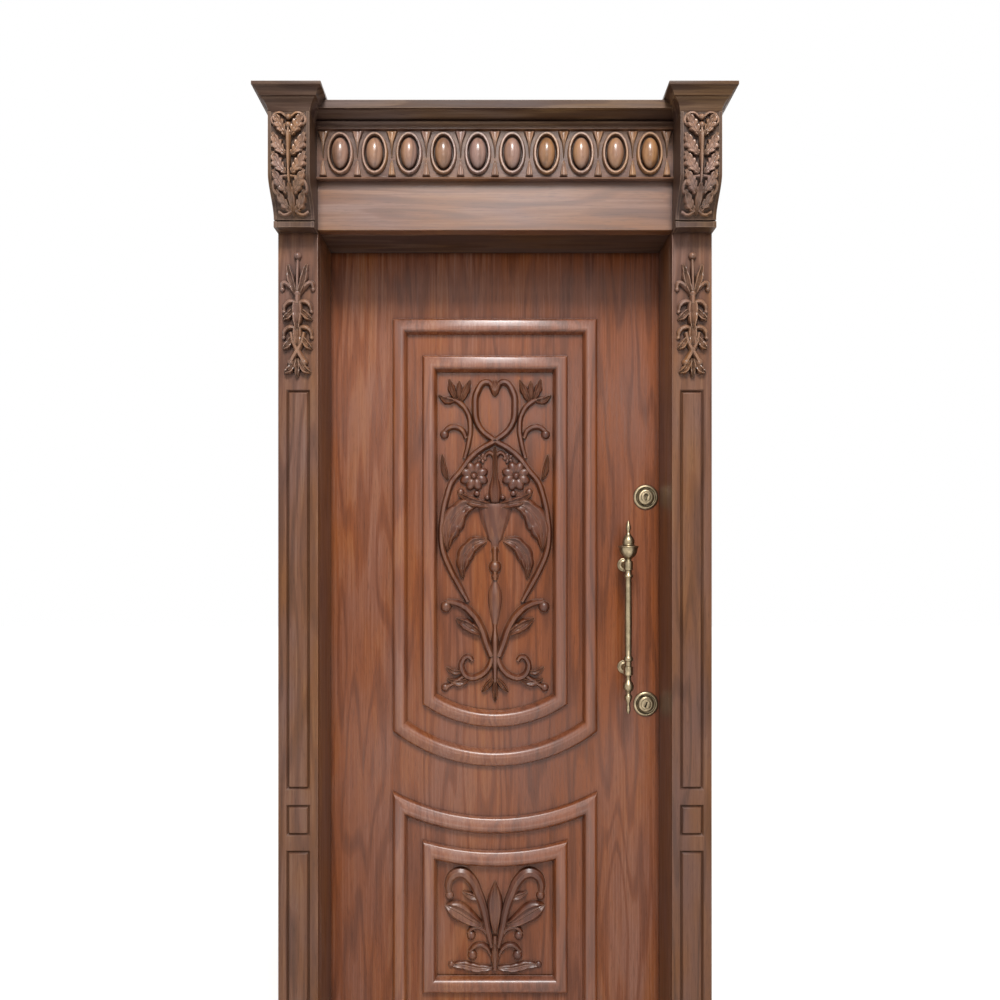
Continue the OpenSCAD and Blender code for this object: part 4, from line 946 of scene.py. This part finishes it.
class DOOR_OT_consoles(bpy.types.Operator):
    """Carved brackets under the caps"""
    bl_idname = "door.consoles"
    bl_label = "Consoles"

    def execute(self, context):
        for side, sign in SIDES:
            bm = bmesh.new()
            leaves(bm, CONSOLE_LEAVES, rows=30, cols=12, notch=0.45)
            strands(bm, CONSOLE_CURLS, lift=1.7)
            both_halves(bm)
            strands(bm, CONSOLE_STAFF, lift=2.2)
            leaves(bm, CONSOLE_TIP)
            berries(bm, CONSOLE_BEADS, lift=1.6)
            placed(bm, sign * CASING_MID, CONSOLE_Z, lambda up: CASING_FRONT - console_front(up))
            done = len(bm.faces)
            inner, outer = sign * CASING_IN * MM, sign * CASING_OUT * MM
            margin, short = sign * MARGIN_WIDE * MM, sign * SIDE_SHORT * MM
            run_along(bm, console_section(0.0, MIDDLE_SHORT), inner + short, outer - short)
            run_along(bm, console_section(MARGIN_PROUD, 0.0), inner, inner + margin)
            run_along(bm, console_section(MARGIN_PROUD, 0.0), outer - margin, outer)
            second_finish(bm, done)
            piece(side + "_bracket", bm, "frame", ["frame_relief", "frame_ground"],
                  [side + "_console"])
        return {"FINISHED"}


FRIEZE_Z, FRIEZE_THICK = face_at("egg_frieze", Z, LOW), 12.0
FRIEZE_GROUND = CASING_FRONT - FRIEZE_THICK
EGG_COUNT, EGG_PITCH = 10, 79.0
# An egg's half width, with its height and depth as shares of it
EGG_HALF, EGG_TALL, EGG_DEEP = 20.5, 1.78, 1.1
# The ring round an egg: half width, half height and half thickness
RING_HALF, RING_TALL, RING_THICK, RING_POINTS = 26.3, 44.5, 5.2, 16
# Darts between the eggs, from above and from below: points of (up, half width)
DARTS = ([(52, 14), (40, 10), (22, 4), (-8, 1.2)], [(-52, 9), (-38, 7), (-16, 2)])
# The frieze's edge bead as (out from its ground, in from its edge), below and above
LOW_BEAD = [(6, 0), (7, 1.5), (6, 3), (3, 5), (0, 7)]
HIGH_BEAD = [(0, 7), (3, 5), (6, 3.5), (6, 0)]


class DOOR_OT_frieze(bpy.types.Operator):
    """Egg and dart frieze of the head"""
    bl_idname = "door.frieze"
    bl_label = "Egg frieze"

    def execute(self, context):
        bm = bmesh.new()
        egg = Matrix.Diagonal((1, EGG_TALL, EGG_DEEP, 1))
        rings = []
        for i in range(EGG_COUNT):
            x = (i - (EGG_COUNT - 1) / 2) * EGG_PITCH
            bmesh.ops.create_uvsphere(bm, u_segments=28, v_segments=18, radius=EGG_HALF,
                                      matrix=Matrix.Translation((x, 0, 0)) @ egg)
            turns = [math.tau * k / RING_POINTS for k in range(RING_POINTS)]
            rings.append([(x + RING_HALF * math.cos(a), RING_TALL * math.sin(a), RING_THICK)
                          for a in turns])
        strands(bm, rings, lift=2.0, cyclic=True)
        for i in range(EGG_COUNT + 1):
            x = (i - EGG_COUNT / 2) * EGG_PITCH
            for dart in DARTS:
                blade(bm, [(x, up, half) for up, half in dart], lobes=1, rise=9, rows=16, cols=8,
                      notch=0.0, sweep=0.0)
        placed(bm, 0.0, (FRIEZE_Z + CAP_Z) / 2, lambda up: FRIEZE_GROUND)
        done = len(bm.faces)
        section = [(CASING_FRONT, FRIEZE_Z)]
        section += [(FRIEZE_GROUND - out, FRIEZE_Z + up) for out, up in LOW_BEAD]
        section += [(FRIEZE_GROUND - out, CAP_Z - down) for out, down in HIGH_BEAD]
        section += [(CASING_FRONT, CAP_Z)]
        run_along(bm, [(y * MM, z * MM) for y, z in section], -CASING_IN * MM, CASING_IN * MM)
        second_finish(bm, done)
        piece("egg_and_dart", bm, "frame", ["frame_relief", "frame_level"], ["egg_frieze"])
        return {"FINISHED"}


class DOOR_OT_timber(bpy.types.Operator):
    """Jambs, pilasters, head, caps, cornice and the boards of the leaf, edges eased"""
    bl_idname = "door.timber"
    bl_label = "Plain timber"

    def execute(self, context):
        round_by = sizes().eased_edge
        for node in ("left_jamb", "right_jamb", "left_pilaster", "right_pilaster"):
            eased(node, "frame", "frame_upright", round_by)
        eased("threshold", "frame", "frame_level", round_by)
        eased("head_board", "frame", "frame_glossy", round_by)
        # Caps and cornice take the darker tone; on the head jamb's soffit it is painted shade
        for node in ("left_cap", "right_cap", "cornice", "head_jamb"):
            eased(node, "frame", "frame_dark", round_by)
        for node in ("leaf_core", "front_panel", "back_panel"):
            eased(node, "door_leaf", "leaf", round_by)
        return {"FINISHED"}


# Brass and steel

PULL_X = middle_of("pull_upper_post", X)
PULL_Y, INNER_PULL_Y = middle_of("pull_bar", Y), middle_of("inner_pull_bar", Y)
POST_Z = (middle_of("pull_lower_post", Z), middle_of("pull_upper_post", Z))
# Outlines of (radius, height); the bar's heights are from its lower post
BAR = [
    (0, -11), (9, -11), (10.6, -10.2), (11, -9), (11, 9), (10.6, 10.2), (8, 11), (8, 22), (9, 23.5),
    (11, 26), (11.4, 28), (11, 30), (11, 32), (9.4, 34), (8, 36), (8, 60), (8.6, 127), (8, 195), (8, 224),
    (9.4, 226), (11, 228), (11.4, 230), (11, 232), (9, 235), (8, 236.5), (8, 244), (10.6, 244.8),
    (11, 246), (11, 264), (10.6, 265.2), (9, 266), (0, 266),
]
TOP_FINIAL = [
    (8, 0), (7, 3), (9, 6), (15, 11), (20, 19), (22, 27), (22.5, 32), (24.3, 33), (24.3, 36), (17, 38),
    (14, 41), (15, 46), (14, 52), (11, 58), (7, 63), (4.5, 68), (4.2, 72), (6, 77), (6.5, 82), (5, 88),
    (2, 97),
]
BOTTOM_FINIAL = [
    (8, 0), (6, 6), (7, 12), (12, 20), (13, 27), (12, 33), (7, 40), (5.5, 45), (9.5, 50), (8, 58),
    (3.5, 70), (5, 76), (5, 86), (2, 93),
]
# A finial's tip is rounded off by this height
TIP_HIGH = 0.6
# A post's stepped rose, by heights from the leaf, and its collar, by depths below its head
POST_FOOT = [
    (0, 0), (17, 0), (17, 1.6), (16.2, 2.4), (14.5, 2.6), (13.6, 4.6), (11, 5.6), (9.5, 6), (7.6, 8.5),
    (6.5, 12), (6.2, 24),
]
POST_HEAD = [(6.2, 24), (7.4, 16), (6.5, 12), (6.5, 0), (0, 0)]
# It ends inside the bar, this far short of the bar's middle
POST_SHORT = 4.0


def in_metres(outline):
    """An outline's points, drawn in millimetres, as metres."""
    return [(r * MM, h * MM) for r, h in outline]


def post(bm, face_y, bar_y, z):
    """A post from the leaf's face to the bar."""
    way = 1 if bar_y > face_y else -1
    reach = abs(bar_y - face_y) - POST_SHORT
    outline = POST_FOOT + [(r, reach - down) for r, down in POST_HEAD]
    turned(bm, in_metres(outline), (PULL_X * MM, face_y * MM, z * MM), (0, way, 0))


def finial(bm, outline, foot, way):
    """A turned end of the bar, pointing up or down."""
    shape = [(0.0, 0.0)] + smooth_outline(outline) + [(0.0, outline[-1][1] + TIP_HIGH)]
    turned(bm, in_metres(shape), foot, (0, 0, way))


class DOOR_OT_pulls(bpy.types.Operator):
    """Turned pull handles outside and inside"""
    bl_idname = "door.pulls"
    bl_label = "Pull handles"

    def execute(self, context):
        for name, bar_y, face_y, nodes, finials in (
                ("outer_pull", PULL_Y, LEAF_FRONT, ["pull_bar", "pull_top_finial", "pull_bottom_finial",
                                                    "pull_upper_post", "pull_lower_post"], True),
                ("inner_pull", INNER_PULL_Y, LEAF_BACK, ["inner_pull_bar", "inner_pull_upper_post",
                                                         "inner_pull_lower_post"], False)):
            bm = bmesh.new()
            foot = Vector((PULL_X, bar_y, POST_Z[0])) * MM
            turned(bm, in_metres(BAR), foot, (0, 0, 1))
            for z in POST_Z:
                post(bm, face_y, bar_y, z)
            if finials:
                finial(bm, TOP_FINIAL, foot + Vector((0, 0, BAR[-1][1] * MM)), 1)
                finial(bm, BOTTOM_FINIAL, foot + Vector((0, 0, BAR[0][1] * MM)), -1)
            piece(name, bm, "door_leaf", ["brass"], nodes, sharp=BRASS_SHARP)
        return {"FINISHED"}


LOCK_X = middle_of("upper_escutcheon", X)
UPPER_LOCK, LOWER_LOCK = middle_of("upper_escutcheon", Z), middle_of("lower_escutcheon", Z)
# A lock's rose, ringed round the hole for the plug
ROSE = [
    (12.05, 0), (31, 0), (31, 1.4), (30.2, 2.8), (28.6, 4.0), (26.6, 4.5), (25, 4.3), (24.4, 2.4),
    (23.6, 1.2), (20.8, 1.2), (20.2, 3.2), (19.6, 5.6), (18.8, 7.6), (17, 8.5), (14.5, 8.9), (13, 9),
    (12.05, 8.6), (12.05, 0),
]


class DOOR_OT_locks(bpy.types.Operator):
    """Lock roses, plugs and thumb turns"""
    bl_idname = "door.locks"
    bl_label = "Locks"

    def execute(self, context):
        round_by = sizes().metal_edge
        for name, z in (("upper", UPPER_LOCK), ("lower", LOWER_LOCK)):
            bm = bmesh.new()
            turned(bm, in_metres(ROSE), (LOCK_X * MM, LEAF_FRONT * MM, z * MM), (0, -1, 0), steps=56)
            piece(name + "_rose", bm, "door_leaf", ["brass"], [name + "_escutcheon"],
                  sharp=ROSE_SHARP)
            eased(name + "_inner_rose", "door_leaf", "brass", round_by)
            eased(name + "_key_plug", name + "_turn", "brass", round_by)
            eased(name + "_thumb_turn", name + "_turn", "brass", round_by * 2)
        paint(["upper_lock_cylinder", "lower_lock_cylinder"], "brass")
        return {"FINISHED"}


# A screw head in shares of its radius: its rim, the rise of its face, the flat round the recess
HEAD_RIM, HEAD_RISE, HEAD_FLAT = 0.15, 0.12, 0.30
# Depth of the recess, and the end of the cone below the rim
RECESS_DEEP, HEAD_CONE = 0.35, 0.55
# Reach of the cross recess round a quarter of the head
CROSS = (1.0, 0.62, 0.30, 0.62)


def screw(bm, place):
    """A countersunk cross-recess screw head lying in the plate, its face along +Z of place."""
    r = sizes().screw
    head = bmesh.new()
    disc = bmesh.ops.create_circle(head, cap_ends=True, segments=16, radius=r)["verts"]
    face = disc[0].link_faces[0]
    bmesh.ops.inset_individual(head, faces=[face], thickness=r * HEAD_RIM, depth=r * HEAD_RISE)
    bmesh.ops.inset_individual(head, faces=[face], thickness=r * HEAD_FLAT, depth=0.0)
    for k, v in enumerate(face.verts):
        v.co.xy *= CROSS[k % 4]
    low = bmesh.ops.extrude_discrete_faces(head, faces=[face])["faces"]
    bmesh.ops.translate(head, verts=low[0].verts[:], vec=(0, 0, -r * RECESS_DEEP))
    # Below its rim the head narrows into the plate
    cone = bmesh.ops.extrude_edge_only(head, edges=[e for e in head.edges if e.is_boundary])["geom"]
    for g in cone:
        if isinstance(g, bmesh.types.BMVert):
            g.co = (HEAD_CONE * g.co.x, HEAD_CONE * g.co.y, -HEAD_CONE * r)
    bmesh.ops.contextual_create(head, geom=[g for g in cone if isinstance(g, bmesh.types.BMEdge)
                                            and g.is_boundary])
    bmesh.ops.transform(head, matrix=place, verts=head.verts[:])
    joined(bm, head)


# Faces of the frame's rebate and of the leaf's edge, which the plates lie in
REBATE, LEAF_EDGE = face_at("upper_strike_plate", X, LOW), face_at("upper_lock_case", X, HIGH)
# Screws of a hinge leaf: height from its middle, and step aside from the middle screw
HINGE_SCREWS = ((-40.0, 6.0), (0.0, 0.0), (40.0, 6.0))
# Where the middle screws sit in y, in the frame and in the leaf
FRAME_ROW, LEAF_ROW = 76.0, 74.0
# Screws of the plates: heights from the lock's middle, and their y
PLATE_SCREWS, PLATE_ROW = (-78.0, 78.0), middle_of("upper_strike_plate", Y)
FACE_RIGHT = Matrix.Rotation(math.radians(90), 4, "Y")
FACE_LEFT = Matrix.Rotation(math.radians(-90), 4, "Y")


class DOOR_OT_steel(bpy.types.Operator):
    """Hinges, strike plates, lock fronts, bolts and their screws"""
    bl_idname = "door.steel"
    bl_label = "Hinges and bolts"

    def execute(self, context):
        round_by = sizes().metal_edge
        hinges = ("bottom", "middle", "top")
        for where in hinges:
            eased(where + "_hinge_frame_leaf", "frame", "steel", round_by)
            eased(where + "_hinge_door_leaf", "door_leaf", "steel", round_by)
        for name, body in (
                ("hinge_pins", "frame"), ("upper_strike_plate", "frame"), ("lower_strike_plate", "frame"),
                ("upper_lock_case", "door_leaf"), ("lower_lock_case", "door_leaf"),
                ("upper_deadbolts", "upper_bolt_set"), ("lower_deadbolts", "lower_bolt_set"),
                ("roller_latch", "latch")):
            eased(name, body, "steel", round_by)
        paint(["pull_bolts"], "steel")
        frame_screws, leaf_screws = bmesh.new(), bmesh.new()

        def screws(frame_x, frame_y, leaf_x, leaf_y, z):
            """A screw in the frame and its fellow in the leaf, facing each other."""
            out, back = (FACE_RIGHT, FACE_LEFT) if frame_x < 0 else (FACE_LEFT, FACE_RIGHT)
            screw(frame_screws, Matrix.Translation(Vector((frame_x, frame_y, z)) * MM) @ out)
            screw(leaf_screws, Matrix.Translation(Vector((leaf_x, leaf_y, z)) * MM) @ back)

        for where in hinges:
            middle = middle_of(where + "_hinge_frame_leaf", Z)
            for up, aside in HINGE_SCREWS:
                screws(-REBATE, FRAME_ROW + aside, -LEAF_EDGE, LEAF_ROW + aside, middle + up)
        for z in (UPPER_LOCK, LOWER_LOCK):
            for up in PLATE_SCREWS:
                screws(REBATE, PLATE_ROW, LEAF_EDGE, PLATE_ROW, z + up)
        piece("frame_screws", frame_screws, "frame", ["steel"], [])
        piece("leaf_screws", leaf_screws, "door_leaf", ["steel"], [])
        return {"FINISHED"}


class DOOR_OT_seals(bpy.types.Operator):
    """Rubber seals in the stops and under the leaf"""
    bl_idname = "door.seals"
    bl_label = "Seals"

    def execute(self, context):
        paint(["frame_seal", "bottom_seal"], "rubber")
        return {"FINISHED"}


# Stage

# Lamps: name, place, aim, width and height in metres, and watts
LAMPS = (
    ("key", (0.1, -3.2, 5.0), (0.0, 0.0, 1.3), 1.2, 1.2, 222.0),
    ("strip", (0.0, -4.0, 4.15), (0.0, 0.0, 1.8), 1.4, 0.4, 16.0),
    ("fill", (0.1, -4.5, 2.45), (0.0, 0.0, 1.4), 2.6, 0.6, 21.0),
    ("low", (0.0, -2.3, 0.3), (0.0, 0.0, 0.2), 2.0, 0.5, 4.8),
    ("back", (0.8, 3.5, 3.2), (0.0, 0.0, 1.2), 2.5, 2.5, 90.0),
)
WHITE = (1.0, 1.0, 1.0, 1.0)
FLOOR_HALF = 12.0


def lamp(name, spot, aim, wide, tall, watts):
    """A soft rectangular lamp turned towards a point."""
    light = bpy.data.lights.new(name, "AREA")
    light.shape = "RECTANGLE"
    light.size = wide
    light.size_y = tall
    light.energy = watts
    made = bpy.data.objects.new(name, light)
    made.location = spot
    made.rotation_euler = (Vector(aim) - Vector(spot)).to_track_quat("-Z", "Y").to_euler()
    bpy.context.scene.collection.objects.link(made)


def looked_at(tree):
    """1 for what the camera, a mirror or glass looks at, 0 for light that falls on the object."""
    ray = add(tree, "ShaderNodeLightPath").outputs
    share = ray["Is Camera Ray"]
    for other in ("Is Glossy Ray", "Is Transmission Ray"):
        share = add(tree, "ShaderNodeMath", {0: share, 1: ray[other]}, operation="MAXIMUM").outputs[0]
    return share


def viewpoint(scene):
    """The camera in front of the door."""
    eye = bpy.data.cameras.new("camera")
    eye.sensor_width = 36.0
    eye.lens = 31.7
    # The horizon of the view lies 40 thousandths below the picture's middle
    eye.shift_x = 0.005
    eye.shift_y = 0.040
    eye.clip_end = 60.0
    camera = bpy.data.objects.new("camera", eye)
    camera.location = (0.0, -2.170, 1.403)
    camera.rotation_euler = (math.radians(90), 0.0, 0.0)
    scene.collection.objects.link(camera)
    scene.camera = camera


def backdrop(scene):
    """A white world that lights the object only faintly."""
    world = bpy.data.worlds.new("studio")
    scene.world = world
    world.use_nodes = True
    tree = world.node_tree
    tree.nodes.clear()
    glow = add(tree, "ShaderNodeBackground", {"Color": WHITE, "Strength": 0.10}).outputs[0]
    white = add(tree, "ShaderNodeBackground", {"Color": WHITE, "Strength": 1.0}).outputs[0]
    both = add(tree, "ShaderNodeMixShader", {0: looked_at(tree), 1: glow, 2: white}).outputs[0]
    add(tree, "ShaderNodeOutputWorld", {"Surface": both})


def floor_paint():
    """Matt studio paint: nearly white to the camera, whiter with distance, with the shadows kept."""
    made, tree, shader, where = start("studio_floor_matt")
    # A faint unevenness of 300 mm keeps the floor from looking painted on
    cloud = add(tree, "ShaderNodeTexNoise", {"Vector": where, "Scale": 1 / (300 * MM)}).outputs[0]
    shade = add(tree, "ShaderNodeMix", {
        0: cloud, 6: rgba(colours().floor, 0.97), 7: rgba(colours().floor)}, data_type="RGBA").outputs[2]
    plug(tree, shader, {"Base Color": shade, "Roughness": 0.8})
    away = add(tree, "ShaderNodeVectorMath", {0: where}, operation="LENGTH").outputs["Value"]
    strength = add(tree, "ShaderNodeMapRange", {0: away, 1: 1.0, 2: 5.0, 3: 0.42, 4: 0.95}).outputs[0]
    bright = add(tree, "ShaderNodeEmission", {"Color": WHITE, "Strength": strength}).outputs[0]
    painted = shader.outputs["BSDF"]
    glow = add(tree, "ShaderNodeAddShader", {0: painted, 1: bright}).outputs[0]
    lit = add(tree, "ShaderNodeMixShader", {0: looked_at(tree), 1: painted, 2: glow}).outputs[0]
    plug(tree, next(n for n in tree.nodes if n.type == "OUTPUT_MATERIAL"), {"Surface": lit})
    return made


class DOOR_OT_stage(bpy.types.Operator):
    """Camera, soft studio light, pale floor and white backdrop"""
    bl_idname = "door.stage"
    bl_label = "Stage"

    def execute(self, context):
        scene = context.scene
        scene.view_settings.view_transform = "Standard"
        viewpoint(scene)
        for row in LAMPS:
            lamp(*row)
        backdrop(scene)
        bm = bmesh.new()
        bmesh.ops.create_grid(bm, x_segments=1, y_segments=1, size=FLOOR_HALF)
        mesh = bpy.data.meshes.new("floor")
        bm.to_mesh(mesh)
        bm.free()
        mesh.materials.append(floor_paint())
        floor = bpy.data.objects.new("floor", mesh)
        scene.collection.objects.link(floor)
        return {"FINISHED"}


# Add-on

OPERATORS = (
    DOOR_OT_stage, DOOR_OT_timber, DOOR_OT_mouldings, DOOR_OT_upper_carving, DOOR_OT_lower_carving,
    DOOR_OT_drops, DOOR_OT_consoles, DOOR_OT_frieze, DOOR_OT_pulls, DOOR_OT_locks, DOOR_OT_steel,
    DOOR_OT_seals,
)


class DOOR_PT_panel(bpy.types.Panel):
    """Sidebar list of the door's pieces"""
    bl_idname = "DOOR_PT_panel"
    bl_label = "Carved entrance door"
    bl_space_type = "VIEW_3D"
    bl_region_type = "UI"
    bl_category = "Door"

    def draw(self, context):
        for group in (context.scene.door_colours, context.scene.door_sizes):
            for key in group.__annotations__:
                self.layout.prop(group, key)
        for operator in OPERATORS:
            self.layout.operator(operator.bl_idname)


CLASSES = (DoorColours, DoorSizes) + OPERATORS + (DOOR_PT_panel,)


def register():
    for made in CLASSES:
        bpy.utils.register_class(made)
    bpy.types.Scene.door_colours = bpy.props.PointerProperty(type=DoorColours)
    bpy.types.Scene.door_sizes = bpy.props.PointerProperty(type=DoorSizes)


def unregister():
    del bpy.types.Scene.door_sizes
    del bpy.types.Scene.door_colours
    for made in reversed(CLASSES):
        bpy.utils.unregister_class(made)


def main():
    register()
    for operator in OPERATORS:
        group, name = operator.bl_idname.split(".")
        getattr(getattr(bpy.ops, group), name)()


if __name__ == "__main__":
    main()
